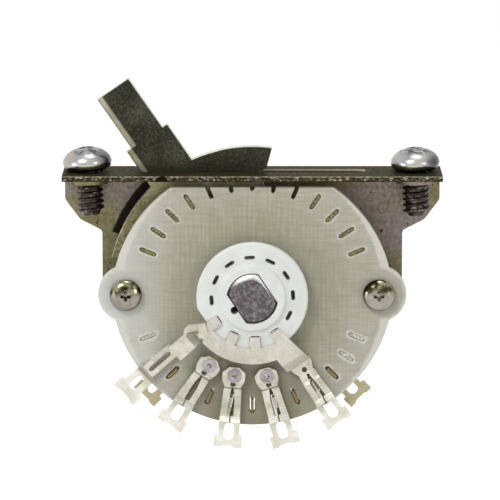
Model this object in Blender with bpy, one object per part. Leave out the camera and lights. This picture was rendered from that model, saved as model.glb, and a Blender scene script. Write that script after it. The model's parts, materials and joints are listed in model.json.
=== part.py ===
"""Lever selector switch for an electric guitar: two poles, four positions.

A folded steel bracket carries a glass-epoxy wafer with two rings of contacts,
and a flat steel lever that turns a moulded rotor between them. The switch is
drawn with its lever in the left end position. The origin is on the top face of
the mounting plate, midway between the two mounting screws. The shaft runs
along Y, and the wafer faces -Y.
"""

import math

import bmesh
import bpy
from mathutils import Matrix

MM = 0.001
DEGREE = math.pi / 180
FILL_TURN = 7.3

# Fits between pieces
SEAT = 0.2 * MM  # between faces that rest on each other
RUNNING = 0.15 * MM  # around a shaft that turns
FLAT_FIT = 0.12 * MM  # around the flats that drive the lever and the rotor

# Bracket: one folded sheet, the mounting plate on top and the web behind
SHEET = 0.7 * MM
MOUNT_SPACING = 41.28 * MM
PLATE_MARGIN = 3.16 * MM  # of plate outside each mounting screw's axis
PLATE_LENGTH = MOUNT_SPACING + 2 * PLATE_MARGIN
PLATE_WIDTH = 9.5 * MM
FOLD_RADIUS = 0.4 * MM
LEVER_SLOT_LENGTH = 29.1 * MM
LEVER_SLOT_WIDTH = 2.2 * MM
SHAFT_DROP = 15.0 * MM  # from the plate's top face down to the shaft's axis
SHOULDER_DEPTH = 4.3 * MM  # where the web starts to narrow
SHOULDER_CUT = 1.9 * MM  # how far the first slanted edge runs in
SHOULDER_DROP = 2.6 * MM  # and down
WAIST_DROP = 1.45 * MM  # then down again to the waist beside the ears
SHOULDER_RADIUS = 1.2 * MM
WAIST_RADIUS = 0.6 * MM
WEB_LOBE_RADIUS = 11.5 * MM  # the web's lower edge, about the shaft
COLLAR_RADIUS = 2.6 * MM
COLLAR_HEIGHT = 0.8 * MM

# Mounting screws
MOUNT_SHANK_RADIUS = 1.75 * MM
MOUNT_HEAD_RADIUS = 3.1 * MM
MOUNT_HEAD_HEIGHT = 2.85 * MM
MOUNT_LENGTH = 5.8 * MM  # under the head
THREAD_ROOM = 0.15 * MM
# Both screws sit a little askew in their collars. For each: its side, its lean
# to the left, the lift of its head, its sideways play, and its recess's turn
MOUNT_POSES = (
    ("left", -1, 3.8, 0.2 * MM, 0.0, 40),
    ("right", 1, 2.2, 0.14 * MM, -0.08 * MM, 25),
)

# Radii about the shaft, each set out from the one inside it
SHAFT_RADIUS = 3.1 * MM
HUB_WALL = 1.2 * MM
ROTOR_DOME_RADIUS = SHAFT_RADIUS + HUB_WALL
WAFER_BORE_RADIUS = ROTOR_DOME_RADIUS + 0.45 * MM
ROTOR_BOSS_RADIUS = WAFER_BORE_RADIUS + 0.85 * MM
TAB_SLOT_RADIUS = ROTOR_DOME_RADIUS + 0.8 * MM
FLANGE_MARGIN = 1.9 * MM  # from the tab slots out to the rim of the flange
FLANGE_RADIUS = TAB_SLOT_RADIUS + FLANGE_MARGIN
RING_LEDGE = 1.4 * MM  # how far the contact ring stands out past the flange
RING_RADIUS = FLANGE_RADIUS + RING_LEDGE
SLOT_REACH = 5.75 * MM  # from the rim of the ring to the circle of slots
SLOT_RING_RADIUS = RING_RADIUS + SLOT_REACH

# Wafer: a stamped board with a grid of slots around the shaft
WAFER_SETBACK = 0.05 * MM  # behind the plate's front edge
WAFER_THICKNESS = 1.6 * MM
SLOT_LENGTH = 2.3 * MM
SLOT_WIDTH = 0.6 * MM
WAFER_MARGIN = 3.55 * MM  # of board outside the circle of slots
WAFER_RADIUS = SLOT_RING_RADIUS + WAFER_MARGIN
WAFER_SQUASH = 1.0 * MM  # each arc's centre lies this far past the shaft
WAFER_TOP_GAP = 0.79 * MM  # under the mounting plate
EAR_INSET = 1.85 * MM  # from the wafer's radius in to an ear's centre
EAR_SPACING = 2 * (WAFER_RADIUS - EAR_INSET)
EAR_RADIUS = 3.5 * MM
SLOT_ANGLE = 11.25
SLOTS_FIRST = 2  # the slots nearest the ears, in steps from the horizontal
SLOTS_LAST = 14

# Screws, sleeves and nuts that hold the wafer to the web
EAR_SHANK_RADIUS = 1.05 * MM
EAR_HEAD_RADIUS = 2.03 * MM
EAR_HEAD_HEIGHT = 1.3 * MM
EAR_HOLE_RADIUS = 1.25 * MM
SLEEVE_RADIUS = 2.0 * MM
NUT_FLATS = 4.76 * MM
NUT_THICKNESS = 1.6 * MM
SCREW_TAIL = 0.7 * MM  # past the nut

# Lever: a flat blank, a handle above a fan that turns in the slot
LEVER_THICKNESS = 1.6 * MM
HANDLE_REACH = 30.85 * MM  # from the shaft's axis to the tip
TIP_WIDTH = 4.74 * MM
HANDLE_WIDTH = 6.2 * MM
HANDLE_SHOULDER = 23.35 * MM
FAN_RADIUS = 18.15 * MM
FAN_ANGLE = 42.4
FAN_HEIGHT = 3.1 * MM  # from the rim down to the heel
HEEL_CORNER = 1.1 * MM
HEEL_ROUND = 0.25 * MM
LEVER_HUB_RADIUS = SHAFT_RADIUS + 2.3 * MM
LEVER_EDGE = 0.14 * MM
POSITIONS = 4
STEP_ANGLE = 22.5
LEVER_SLACK = 0.8  # how far the handle leans past the rotor on its flats

# Shaft and its bearing
SHAFT_FLATS = 4.5 * MM
SHAFT_CHAMFER = 1.1 * MM
SHAFT_PROUD = 0.4 * MM  # in front of the rotor's hub
JOURNAL_RADIUS = SHAFT_RADIUS - 0.6 * MM
BUSH_RADIUS = JOURNAL_RADIUS + 1.1 * MM
BUSH_FLANGE_RADIUS = BUSH_RADIUS + 1.0 * MM
BUSH_FLANGE = 0.8 * MM
BUSH_TAIL = 1.3 * MM  # behind the web
CLIP_THICKNESS = 0.5 * MM
CLIP_RADIUS = JOURNAL_RADIUS + 1.8 * MM
GROOVE_DEPTH = 0.6 * MM
SHAFT_TAIL = 0.7 * MM  # behind the clip

# Index: a spring arm presses two balls towards holes in the web
ARM_THICKNESS = 0.4 * MM
ARM_END_RADIUS = 2.3 * MM
BALL_SHARE = 0.599  # the ball's radius as a share of the room behind the arm
BALL_CIRCLE = 9.0 * MM
BALL_LIFT = 0.05 * MM  # between the ball and the web, so that it can roll
INDEX_HOLE_SHARE = 0.69  # the hole's radius as a share of the ball's

# Rotor: two moulded halves that meet through the wafer
FRONT_FLANGE_TOP = 2.3 * MM  # above the wafer's face
REAR_FLANGE_TOP = 1.4 * MM  # behind the wafer's back
FLANGE_THICKNESS = 1.0 * MM
ROTOR_DOME = 0.6 * MM
FLANGE_FLAT = FLANGE_RADIUS - 0.55 * MM  # from the axis to the flat on the flange
KEY_RADIUS = 0.5 * MM
TAB_SLOTS = 12
TAB_SLOT_LENGTH = 1.4 * MM
TAB_SLOT_WIDTH = 0.5 * MM

# Rotor blades: stamped contact rings with one lobe
BLADE = 0.25 * MM
BLADE_SEAT = 0.1 * MM
RING_WIDTH = 2.0 * MM
RING_INNER_RADIUS = RING_RADIUS - RING_WIDTH
LOBE_REACH = RING_RADIUS + 2.2 * MM
LOBE_CREASE = RING_RADIUS + 0.93 * MM
LOBE_LEFT = 1.8 * MM
LOBE_RIGHT = 1.5 * MM
RING_SHOULDER = 0.86 * MM  # the ring's half width where the lobe's right edge starts
RING_END = -84.0
TAB_COUNT = 4
TAB_WIDTH = 1.25 * MM
TAB_LAP = 0.05 * MM  # how far a tab's root runs into the ring
FRONT_TAB_DEPTH = 1.6 * MM
REAR_TAB_DEPTH = 1.0 * MM

# Terminals: stamped and folded clips clinched through the wafer's slots
STRIP = 0.3 * MM
PAD_INSET = 3.65 * MM  # from the circle of slots in to a pad's centre
PAD_CENTRE = SLOT_RING_RADIUS - PAD_INSET
PAD_LENGTH = 2.3 * MM
PAD_WIDTH = 2.86 * MM
PAD_HEIGHT = 1.2 * MM  # front face of a free contact pad above the wafer
MADE_PAD_HEIGHT = 0.8 * MM  # the pad that the lobe presses at rest
LEG_HEIGHT = 0.85 * MM
LUG_HEIGHT = 1.5 * MM
NECK_LENGTH = 0.4 * MM  # between the pad and the legs
NECK_END = PAD_CENTRE + PAD_LENGTH / 2 + NECK_LENGTH
NECK_WIDTH = 2.2 * MM
LEG_WIDTH = 2.55 * MM
LEG_GAP = 0.86 * MM
LEG_TAIL = 1.55 * MM  # from the circle of slots out to the end of the legs
SHELF = SLOT_RING_RADIUS + LEG_TAIL  # where the legs step forward to the lug
SHELF_LENGTH = 0.6 * MM
LUG_REACH = 3.75 * MM  # from the end of the legs to the end of the lug
LUG_END = SHELF + LUG_REACH
LUG_WIDTH = 2.65 * MM
BAR_WIDTH = 3.55 * MM
BAR_LENGTH = 1.35 * MM
BAR_WEB = 0.7 * MM  # of bar between the eye and the end of the lug
BAR_FOOT = 0.1 * MM  # the feet stand out by this much, and the bar is hollow by it
EYE_WIDTH = 1.3 * MM
CONTACT_GAP = 0.15 * MM  # between the lobe and the pads that it sweeps over
CLINCH_LENGTH = 1.6 * MM
CLINCH_WIDTH = 0.36 * MM
CLINCH_SINK = 0.4 * MM  # its near end lies this far under the face of the legs
CLINCH_TAIL = 0.35 * MM  # past the far side of the wafer
COMMON_BOX_INNER = 5.0 * MM  # from the circle of slots in to the raised box's far end
COMMON_BOX_OUTER = 2.45 * MM  # and to its near end
COMMON_BOX_RIGHT = 1.35 * MM  # half widths on each side of the slot
COMMON_BOX_LEFT = 0.85 * MM
JAW_SLOPE = 1.0 * MM  # the length over which the lower jaw comes down
JAW_RIGHT = 1.25 * MM
JAW_TIP = 0.75 * MM
JAW_LEFT = 0.35 * MM
COMMON_WIDTH = 1.8 * MM
COMMON_SLOT = 3.5 * MM
COMMON_SLOT_WIDTH = 0.6 * MM
COMMON_SHELF = 1.95 * MM
JAW_REACH = 7.1 * MM
FRONT_COMMON_LUG = 5.95 * MM  # from the circle of slots out to the end of the lug
REAR_COMMON_LUG = 5.2 * MM
COMMON_EYE = 2.1 * MM
COMMON_EYE_WIDTH = 1.05 * MM
FRONT_COMMON_HEIGHT = 3.15 * MM
FRONT_JAW_HEIGHT = 1.9 * MM
REAR_COMMON_HEIGHT = 2.25 * MM
REAR_JAW_HEIGHT = 1.15 * MM
FRONT_COMMON_SLOT = -146.25
REAR_COMMON_SLOT = -135.0
# For each throw of the front pole: its slot, its lean and its sideways play
FRONT_THROWS = (
    (-123.75, 0.2, 0.42 * MM),
    (-101.25, 6.0, 0.1 * MM),
    (-78.75, 5.0, 0.05 * MM),
    (-56.25, 0.0, 0.19 * MM),
)
REAR_THROWS = (-112.5, -90.0, -67.5, -45.0)

# Worked out from the sizes above
WAFER_FACE = PLATE_WIDTH / 2 - WAFER_SETBACK
WAFER_BACK = WAFER_FACE - WAFER_THICKNESS
WEB_FACE = SHEET - PLATE_WIDTH / 2
WEB_BACK = -PLATE_WIDTH / 2
REST_LEAN = STEP_ANGLE * (POSITIONS - 1) / 2
LEVER_FACE = LEVER_THICKNESS / 2
ARM_FACE = -LEVER_FACE - SEAT
ARM_BACK = ARM_FACE - ARM_THICKNESS
BALL_RADIUS = BALL_SHARE * (ARM_BACK - WEB_FACE)
INDEX_HOLE_RADIUS = INDEX_HOLE_SHARE * BALL_RADIUS
BUSH_FACE = WEB_FACE + SEAT + BUSH_FLANGE
BUSH_END = WEB_BACK - BUSH_TAIL
CLIP_FACE = BUSH_END - SEAT
GROOVE_RADIUS = JOURNAL_RADIUS - GROOVE_DEPTH
SHAFT_END = CLIP_FACE - CLIP_THICKNESS - SHAFT_TAIL
ROTOR_FACE = WAFER_FACE + FRONT_FLANGE_TOP
ROTOR_TOP = ROTOR_FACE + ROTOR_DOME
ROTOR_SPLIT = WAFER_BACK - SEAT
FRONT_BLADE_FACE = ROTOR_FACE + BLADE_SEAT + BLADE
REAR_BLADE_FACE = WAFER_BACK - REAR_FLANGE_TOP - BLADE_SEAT - BLADE
BORE_RADIUS = SHAFT_RADIUS + FLAT_FIT
BORE_FLATS = SHAFT_FLATS + 2 * FLAT_FIT
PLATE_HOLE_RADIUS = MOUNT_SHANK_RADIUS + THREAD_ROOM

ZINC = ((0.42, 0.39, 0.24), 0.9, 0.38)
NICKEL = ((0.33, 0.32, 0.25), 0.9, 0.42)
CHROME = ((0.78, 0.76, 0.72), 1.0, 0.2)
STEEL = ((0.45, 0.42, 0.45), 1.0, 0.4)
BRASS = ((0.72, 0.58, 0.3), 1.0, 0.35)
SILVER = ((0.8, 0.77, 0.7), 0.85, 0.35)
TIN = ((0.62, 0.57, 0.42), 0.85, 0.4)
EPOXY = ((0.64, 0.63, 0.53), 0.0, 0.6)
NYLON = ((0.86, 0.87, 0.86), 0.0, 0.45)


def polar(radius, degrees):
    return (radius * math.cos(degrees * DEGREE), radius * math.sin(degrees * DEGREE))


def arc(radius, start, end, steps, centre=(0.0, 0.0)):
    """Points on an arc from start to end, in degrees, both ends included."""
    points = []
    for i in range(steps + 1):
        x, y = polar(radius, start + (end - start) * i / steps)
        points.append((centre[0] + x, centre[1] + y))
    return points


def circle(radius, centre=(0.0, 0.0), steps=32):
    return arc(radius, 0, 360 * (steps - 1) / steps, steps - 1, centre)


def stadium(length, width, centre=(0.0, 0.0), turn=0.0, steps=4):
    """A slot with round ends that lies along the direction of turn."""
    half = (length - width) / 2
    ends = arc(width / 2, -90, 90, steps, (half, 0)) + arc(width / 2, 90, 270, steps, (-half, 0))
    c, s = polar(1.0, turn)
    return [(centre[0] + x * c - y * s, centre[1] + x * s + y * c) for x, y in ends]


def mirrored(points):
    """The points, then their mirror image, with any point on the middle line kept once."""
    return points + [(-x, y) for x, y in reversed(points) if x > 0.001 * MM]


def double_flat(radius, flats):
    """A circle with two flats that face left and right."""
    corner = math.degrees(math.acos(flats / 2 / radius))
    return arc(radius, corner, 180 - corner, 14) + arc(radius, 180 + corner, 360 - corner, 14)


def crossing(radius_a, centre_a, radius_b, centre_b, side):
    """Where two circles meet, on the given side of the line from a to b."""
    dx = centre_b[0] - centre_a[0]
    dy = centre_b[1] - centre_a[1]
    apart = math.hypot(dx, dy)
    along = (apart**2 + radius_a**2 - radius_b**2) / (2 * apart)
    off = side * math.sqrt(radius_a**2 - along**2)
    x = centre_a[0] + (along * dx - off * dy) / apart
    y = centre_a[1] + (along * dy + off * dx) / apart
    return (x, y)


def rounded(before, corner, after, radius, steps=5):
    """The arc that rounds a corner between two straight edges."""
    ways = []
    for x, y in (before, after):
        length = math.hypot(x - corner[0], y - corner[1])
        ways.append(((x - corner[0]) / length, (y - corner[1]) / length))
    (ax, ay), (bx, by) = ways
    half = math.acos(ax * bx + ay * by) / 2
    reach = radius / math.tan(half)
    middle = math.hypot(ax + bx, ay + by)
    away = radius / math.sin(half) / middle
    centre = (corner[0] + (ax + bx) * away, corner[1] + (ay + by) * away)
    start = heading((corner[0] + ax * reach, corner[1] + ay * reach), centre)
    end = heading((corner[0] + bx * reach, corner[1] + by * reach), centre)
    swing = (end - start + 180) % 360 - 180
    return arc(radius, start, start + swing, steps, centre)


def heading(point, centre):
    return math.degrees(math.atan2(point[1] - centre[1], point[0] - centre[0]))


def flat(loops, low, high):
    """A sheet between two heights: the first loop is its outline, the rest are holes.

    The curve is filled on a turned copy, since points at exactly one height can
    upset the fill.
    """
    c, s = polar(1.0, FILL_TURN)
    curve = bpy.data.curves.new("outline", "CURVE")
    curve.dimensions = "2D"
    curve.fill_mode = "BOTH"
    curve.extrude = (high - low) / 2
    for loop in loops:
        spline = curve.splines.new("POLY")
        spline.points.add(len(loop) - 1)
        spline.use_cyclic_u = True
        for point, (x, y) in zip(spline.points, loop):
            point.co = (x * c - y * s, x * s + y * c, 0, 1)
    carrier = bpy.data.objects.new("outline", curve)
    mesh = bpy.data.meshes.new_from_object(carrier)
    bm = bmesh.new()
    bm.from_mesh(mesh)
    bpy.data.meshes.remove(mesh)
    bpy.data.objects.remove(carrier)
    bpy.data.curves.remove(curve)
    bmesh.ops.remove_doubles(bm, verts=bm.verts, dist=0.0001 * MM)
    back = Matrix.Rotation(-FILL_TURN * DEGREE, 4, "Z")
    lift = Matrix.Translation((0, 0, (high + low) / 2))
    bmesh.ops.transform(bm, matrix=lift @ back, verts=bm.verts)
    bmesh.ops.recalc_face_normals(bm, faces=bm.faces)
    return bm


def block(x, y, z):
    """A box given by its lowest and highest value along each axis."""
    bm = bmesh.new()
    bmesh.ops.create_cube(bm, size=1)
    size = (x[1] - x[0], y[1] - y[0], z[1] - z[0])
    middle = ((x[0] + x[1]) / 2, (y[0] + y[1]) / 2, (z[0] + z[1]) / 2)
    bmesh.ops.scale(bm, verts=bm.verts, vec=size)
    bmesh.ops.translate(bm, verts=bm.verts, vec=middle)
    return bm


def turned(profile, steps=36):
    """A profile of (radius, height) spun once about the Z axis."""
    bm = bmesh.new()
    points = [bm.verts.new((radius, 0, height)) for radius, height in profile]
    edges = [bm.edges.new(pair) for pair in zip(points, points[1:])]
    if profile[0][0] > 0:
        edges.append(bm.edges.new((points[-1], points[0])))
    bmesh.ops.spin(
        bm,
        geom=points + edges,
        cent=(0, 0, 0),
        axis=(0, 0, 1),
        angle=2 * math.pi,
        steps=steps,
        use_merge=True,
    )
    bmesh.ops.remove_doubles(bm, verts=bm.verts, dist=0.0001 * MM)
    bmesh.ops.recalc_face_normals(bm, faces=bm.faces)
    return bm


def merged(parts):
    """Several closed shapes in one mesh, for a cutter or a set of prongs."""
    bm = parts[0]
    for part in parts[1:]:
        mesh = bpy.data.meshes.new("part")
        part.to_mesh(mesh)
        bm.from_mesh(mesh)
        bpy.data.meshes.remove(mesh)
        part.free()
    return bm


def drape(bm, path, thickness):
    """Folds a flat strip that lies along X so that its upper face follows a path.

    Each point of the path is (length along the strip, x, height).
    """
    for length, _, _ in path[1:-1]:
        geometry = bm.verts[:] + bm.edges[:] + bm.faces[:]
        bmesh.ops.bisect_plane(
            bm, geom=geometry, plane_co=(length, 0, 0), plane_no=(1, 0, 0), dist=0.0001 * MM
        )
    normals = []
    for (_, x0, h0), (_, x1, h1) in zip(path, path[1:]):
        run = math.hypot(x1 - x0, h1 - h0)
        normals.append(((h0 - h1) / run, (x1 - x0) / run))
    for vert in bm.verts:
        length = vert.co.x
        below = (thickness - vert.co.z) / thickness
        part = 0
        while part < len(path) - 2 and length > path[part + 1][0] - 0.001 * MM:
            part += 1
        start = path[part]
        end = path[part + 1]
        share = (length - start[0]) / (end[0] - start[0])
        nx, nh = normals[part]
        if part and abs(length - start[0]) < 0.002 * MM:
            before = normals[part - 1]
            mitre = 1 + before[0] * nx + before[1] * nh
            nx = (before[0] + nx) / mitre
            nh = (before[1] + nh) / mitre
        vert.co.x = start[1] + share * (end[1] - start[1]) - nx * below * thickness
        vert.co.z = start[2] + share * (end[2] - start[2]) - nh * below * thickness


def rising(points):
    """A drape path whose strip is drawn as seen from the front."""
    return [(x, x, height) for x, height in points]


def placed(bm, turn=0.0, shift=(0.0, 0.0, 0.0), pivot=(0.0, 0.0, 0.0)):
    """Turns a shape about a pivot, in degrees about Z, then shifts it."""
    matrix = Matrix.Translation(shift) @ Matrix.Translation(pivot)
    matrix = matrix @ Matrix.Rotation(turn * DEGREE, 4, "Z")
    matrix = matrix @ Matrix.Translation([-value for value in pivot])
    bmesh.ops.transform(bm, matrix=matrix, verts=bm.verts)
    return bm


def flipped(bm):
    """The shape turned over, front to back, as a mirror image."""
    bmesh.ops.scale(bm, verts=bm.verts, vec=(1, 1, -1))
    bmesh.ops.reverse_faces(bm, faces=bm.faces)
    return bm


def empty(name, parent, location=(0, 0, 0), rotation=(0, 0, 0)):
    frame = bpy.data.objects.new(name, None)
    frame.location = location
    frame.rotation_euler = rotation
    frame.parent = parent
    bpy.context.scene.collection.objects.link(frame)
    return frame


def piece(name, bm, frame, finish, smooth=True):
    """Makes a bmesh an object of its own, in the given frame, with its material."""
    mesh = bpy.data.meshes.new(name)
    bm.to_mesh(mesh)
    bm.free()
    obj = bpy.data.objects.new(name, mesh)
    obj.parent = frame
    bpy.context.scene.collection.objects.link(obj)
    colour, metallic, roughness = finish
    material = bpy.data.materials.new(name)
    material.use_nodes = True
    shader = material.node_tree.nodes["Principled BSDF"]
    shader.inputs["Base Color"].default_value = (*colour, 1)
    shader.inputs["Metallic"].default_value = metallic
    shader.inputs["Roughness"].default_value = roughness
    mesh.materials.append(material)
    if smooth:
        mesh.shade_smooth()
        mesh.set_sharp_from_angle(angle=35 * DEGREE)
    return obj


def join(obj, bm, operation, frame=None):
    """Adds a Boolean with a hidden helper: DIFFERENCE, UNION or INTERSECT."""
    mesh = bpy.data.meshes.new(obj.name + "_helper")
    bm.to_mesh(mesh)
    bm.free()
    helper = bpy.data.objects.new(mesh.name, mesh)
    helper.parent = frame if frame else obj.parent
    helper.matrix_parent_inverse.identity()
    helper.hide_render = True
    helper.display_type = "WIRE"
    bpy.context.scene.collection.objects.link(helper)
    modifier = obj.modifiers.new(operation.lower(), "BOOLEAN")
    modifier.operation = operation
    modifier.object = helper
    return helper


def bracket(stator):
    """The mounting plate and the web, folded from one sheet."""
    outer = FOLD_RADIUS + SHEET
    half_width = PLATE_WIDTH / 2
    web_end = -SHAFT_DROP - WEB_LOBE_RADIUS
    centre = (half_width - outer, -outer)
    section = [(-half_width, -SHEET), (-half_width, 0)]
    section += arc(outer, 90, 0, 6, centre)
    section += [(half_width, web_end), (half_width - SHEET, web_end)]
    section += arc(FOLD_RADIUS, 0, 90, 6, centre)
    bm = bmesh.new()
    verts = [bm.verts.new((-PLATE_LENGTH / 2, y, z)) for y, z in section]
    face = bm.faces.new(verts)
    grown = bmesh.ops.extrude_face_region(bm, geom=[face])
    moved = [item for item in grown["geom"] if isinstance(item, bmesh.types.BMVert)]
    bmesh.ops.translate(bm, verts=moved, vec=(PLATE_LENGTH, 0, 0))
    bmesh.ops.recalc_face_normals(bm, faces=bm.faces)
    obj = piece("bracket", bm, None, ZINC)

    ear_x = EAR_SPACING / 2
    ear_radius = EAR_RADIUS - 0.25 * MM
    waist_x = ear_x + ear_radius
    end_x = PLATE_LENGTH / 2
    clear = 0.02 * MM
    above = (end_x + clear, SHAFT_DROP + SHEET)
    shoulder = (end_x + clear, SHAFT_DROP - SHOULDER_DEPTH)
    elbow = (end_x - SHOULDER_CUT, shoulder[1] - SHOULDER_DROP)
    waist = (waist_x, elbow[1] - WAIST_DROP)
    side = [above] + rounded(above, shoulder, elbow, SHOULDER_RADIUS)
    side += rounded(shoulder, elbow, waist, SHOULDER_RADIUS)
    side += rounded(elbow, waist, (waist_x, 0), WAIST_RADIUS)
    side += arc(ear_radius, 0, -110, 12, (ear_x, 0))
    side += arc(WEB_LOBE_RADIUS, -50, -90, 10)[:-1] + [(0, -WEB_LOBE_RADIUS)]
    silhouette = flat([mirrored(side)], -PLATE_WIDTH, PLATE_WIDTH)
    join(obj, silhouette, "INTERSECT", stator)

    root = -SHEET / 2
    foot = -SHEET - COLLAR_HEIGHT
    collars = []
    drills = [flat([stadium(LEVER_SLOT_LENGTH, LEVER_SLOT_WIDTH)], -2 * SHEET, SHEET)]
    for side_x in (-MOUNT_SPACING / 2, MOUNT_SPACING / 2):
        collars.append(flat([circle(COLLAR_RADIUS, (side_x, 0))], foot, root))
        drills.append(flat([circle(PLATE_HOLE_RADIUS, (side_x, 0))], foot - SHEET, SHEET))
    join(obj, merged(collars), "UNION")
    join(obj, merged(drills), "DIFFERENCE")

    low = WEB_BACK - SHEET
    high = WEB_FACE + SHEET
    holes = [flat([circle(BUSH_RADIUS + SEAT / 2)], low, high)]
    for ear in (-ear_x, ear_x):
        holes.append(flat([circle(EAR_HOLE_RADIUS, (ear, 0))], low, high))
    for flank in (0, 180):
        for position in range(POSITIONS):
            seat = polar(BALL_CIRCLE, flank + REST_LEAN - STEP_ANGLE * position)
            holes.append(flat([circle(INDEX_HOLE_RADIUS, seat, 14)], low, high))
    join(obj, merged(holes), "DIFFERENCE", stator)


def wafer_outline():
    """Two arcs with their centres pulled together, an ear at each side, a flat top."""
    ear = (EAR_SPACING / 2, 0)
    upper = (0, -WAFER_SQUASH)
    lower = (0, WAFER_SQUASH)
    top = SHAFT_DROP - SHEET - WAFER_TOP_GAP
    start = math.degrees(math.asin((top + WAFER_SQUASH) / WAFER_RADIUS))
    high = crossing(WAFER_RADIUS, upper, EAR_RADIUS, ear, 1)
    low = crossing(WAFER_RADIUS, lower, EAR_RADIUS, ear, -1)
    side = arc(WAFER_RADIUS, start, heading(high, upper), 14, upper)
    side += arc(EAR_RADIUS, heading(high, ear), heading(low, ear), 16, ear)[1:]
    side += arc(WAFER_RADIUS, heading(low, lower), -90, 26, lower)[1:-1]
    return mirrored(side + [(0, WAFER_SQUASH - WAFER_RADIUS)])


def wafer(stator):
    """The stamped board that carries every contact."""
    top = SHAFT_DROP - SHEET - WAFER_TOP_GAP
    holes = [circle(WAFER_BORE_RADIUS, steps=40)]
    for ear in (-EAR_SPACING / 2, EAR_SPACING / 2):
        holes.append(circle(EAR_HOLE_RADIUS, (ear, 0), 20))
    notches = []
    for number in range(SLOTS_FIRST, SLOTS_LAST + 1):
        for turn in (number * SLOT_ANGLE, -number * SLOT_ANGLE):
            centre = polar(SLOT_RING_RADIUS, turn)
            slot = stadium(SLOT_LENGTH, SLOT_WIDTH, centre, turn, 3)
            if max(y for _, y in slot) < top:
                holes.append(slot)
            else:
                notches.append(flat([slot], WAFER_BACK - SHEET, WAFER_FACE + SHEET))
    bm = flat([wafer_outline()] + holes, WAFER_BACK, WAFER_FACE)
    obj = piece("wafer", bm, stator, EPOXY)
    if notches:
        join(obj, merged(notches), "DIFFERENCE")


def cross_recess(reach, width, depth, top):
    """A tapered cross, as a driver's tip leaves it in a screw's head."""
    half = width / 2
    corner = [(half, half), (half, reach)]
    arm = corner + [(-x, y) for x, y in reversed(corner)]
    outline = []
    for quarter in range(4):
        c, s = polar(1.0, 90 * quarter)
        turned_arm = [(x * c - y * s, x * s + y * c) for x, y in arm]
        outline += turned_arm[:3]
    bm = flat([outline], top - depth, top + depth)
    for vert in bm.verts:
        if vert.co.z < top:
            vert.co.x *= 0.3
            vert.co.y *= 0.3
    return bm


def screw(name, frame, at, sizes, finish, turn=0.0, lean=0.0):
    """A domed screw whose head looks along Z, with its seat at the given place.

    The seat is narrower than the head, whose rim curves in under its widest part.
    """
    head_radius, head_height, shank_radius, length = sizes
    rim = 0.32 * head_height
    profile = [(0, -length), (0.6 * shank_radius, -length)]
    profile += [(shank_radius, -length + 0.4 * shank_radius), (shank_radius, 0)]
    profile += [(0.8 * head_radius, 0), (0.94 * head_radius, 0.35 * rim), (head_radius, rim)]
    for step in range(1, 5):
        x, y = polar(1.0, 18 * step)
        profile.append((head_radius * x, rim + (head_height - rim) * y))
    profile.append((0, head_height))
    recess = cross_recess(0.52 * head_radius, 0.3 * head_radius, 0.55 * head_height, head_height)
    pose = Matrix.Translation(at) @ Matrix.Rotation(-lean * DEGREE, 4, "Y")
    shapes = (turned(profile, 24), placed(recess, turn))
    for shape in shapes:
        bmesh.ops.transform(shape, matrix=pose, verts=shape.verts)
    join(piece(name, shapes[0], frame, finish), shapes[1], "DIFFERENCE")


def mounting_screws():
    """The two screws, each turned about the middle of its collar by its lean."""
    sizes = (MOUNT_HEAD_RADIUS, MOUNT_HEAD_HEIGHT, MOUNT_SHANK_RADIUS, MOUNT_LENGTH)
    middle = (SHEET + COLLAR_HEIGHT) / 2
    for name, side, lean, lift, play, turn in MOUNT_POSES:
        off = (lift + middle) * math.sin(lean * DEGREE)
        at = (side * MOUNT_SPACING / 2 + play - off, 0, lift)
        screw("mounting_screw_" + name, None, at, sizes, CHROME, turn, lean)


def wafer_fixings(stator):
    """At each ear: a screw, a sleeve that spaces the wafer from the web, and a nut."""
    head_seat = WAFER_FACE + SEAT
    nut_face = WEB_BACK - SEAT
    nut_back = nut_face - NUT_THICKNESS
    length = head_seat - nut_back + SCREW_TAIL
    sizes = (EAR_HEAD_RADIUS, EAR_HEAD_HEIGHT, EAR_SHANK_RADIUS, length)
    for name, side in (("left", -1), ("right", 1)):
        ear = (side * EAR_SPACING / 2, 0)
        screw("wafer_screw_" + name, stator, (*ear, head_seat), sizes, CHROME)
        walls = [circle(SLEEVE_RADIUS, ear), circle(EAR_HOLE_RADIUS, ear, 20)]
        sleeve = flat(walls, WEB_FACE + SEAT, WAFER_BACK - SEAT)
        piece("wafer_spacer_" + name, sleeve, stator, STEEL)
        corner = NUT_FLATS / math.sqrt(3)
        hexagon = [circle(corner, ear, 6), circle(EAR_HOLE_RADIUS, ear, 20)]
        nut = piece("wafer_nut_" + name, flat(hexagon, nut_back, nut_face), stator, STEEL)
        edge = NUT_FLATS / 2
        drop = corner - edge
        ends = [(0, nut_back), (edge, nut_back), (corner, nut_back + drop)]
        ends += [(corner, nut_face - drop), (edge, nut_face), (0, nut_face)]
        join(nut, placed(turned(ends, 18), 0, (*ear, 0)), "INTERSECT")


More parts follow.
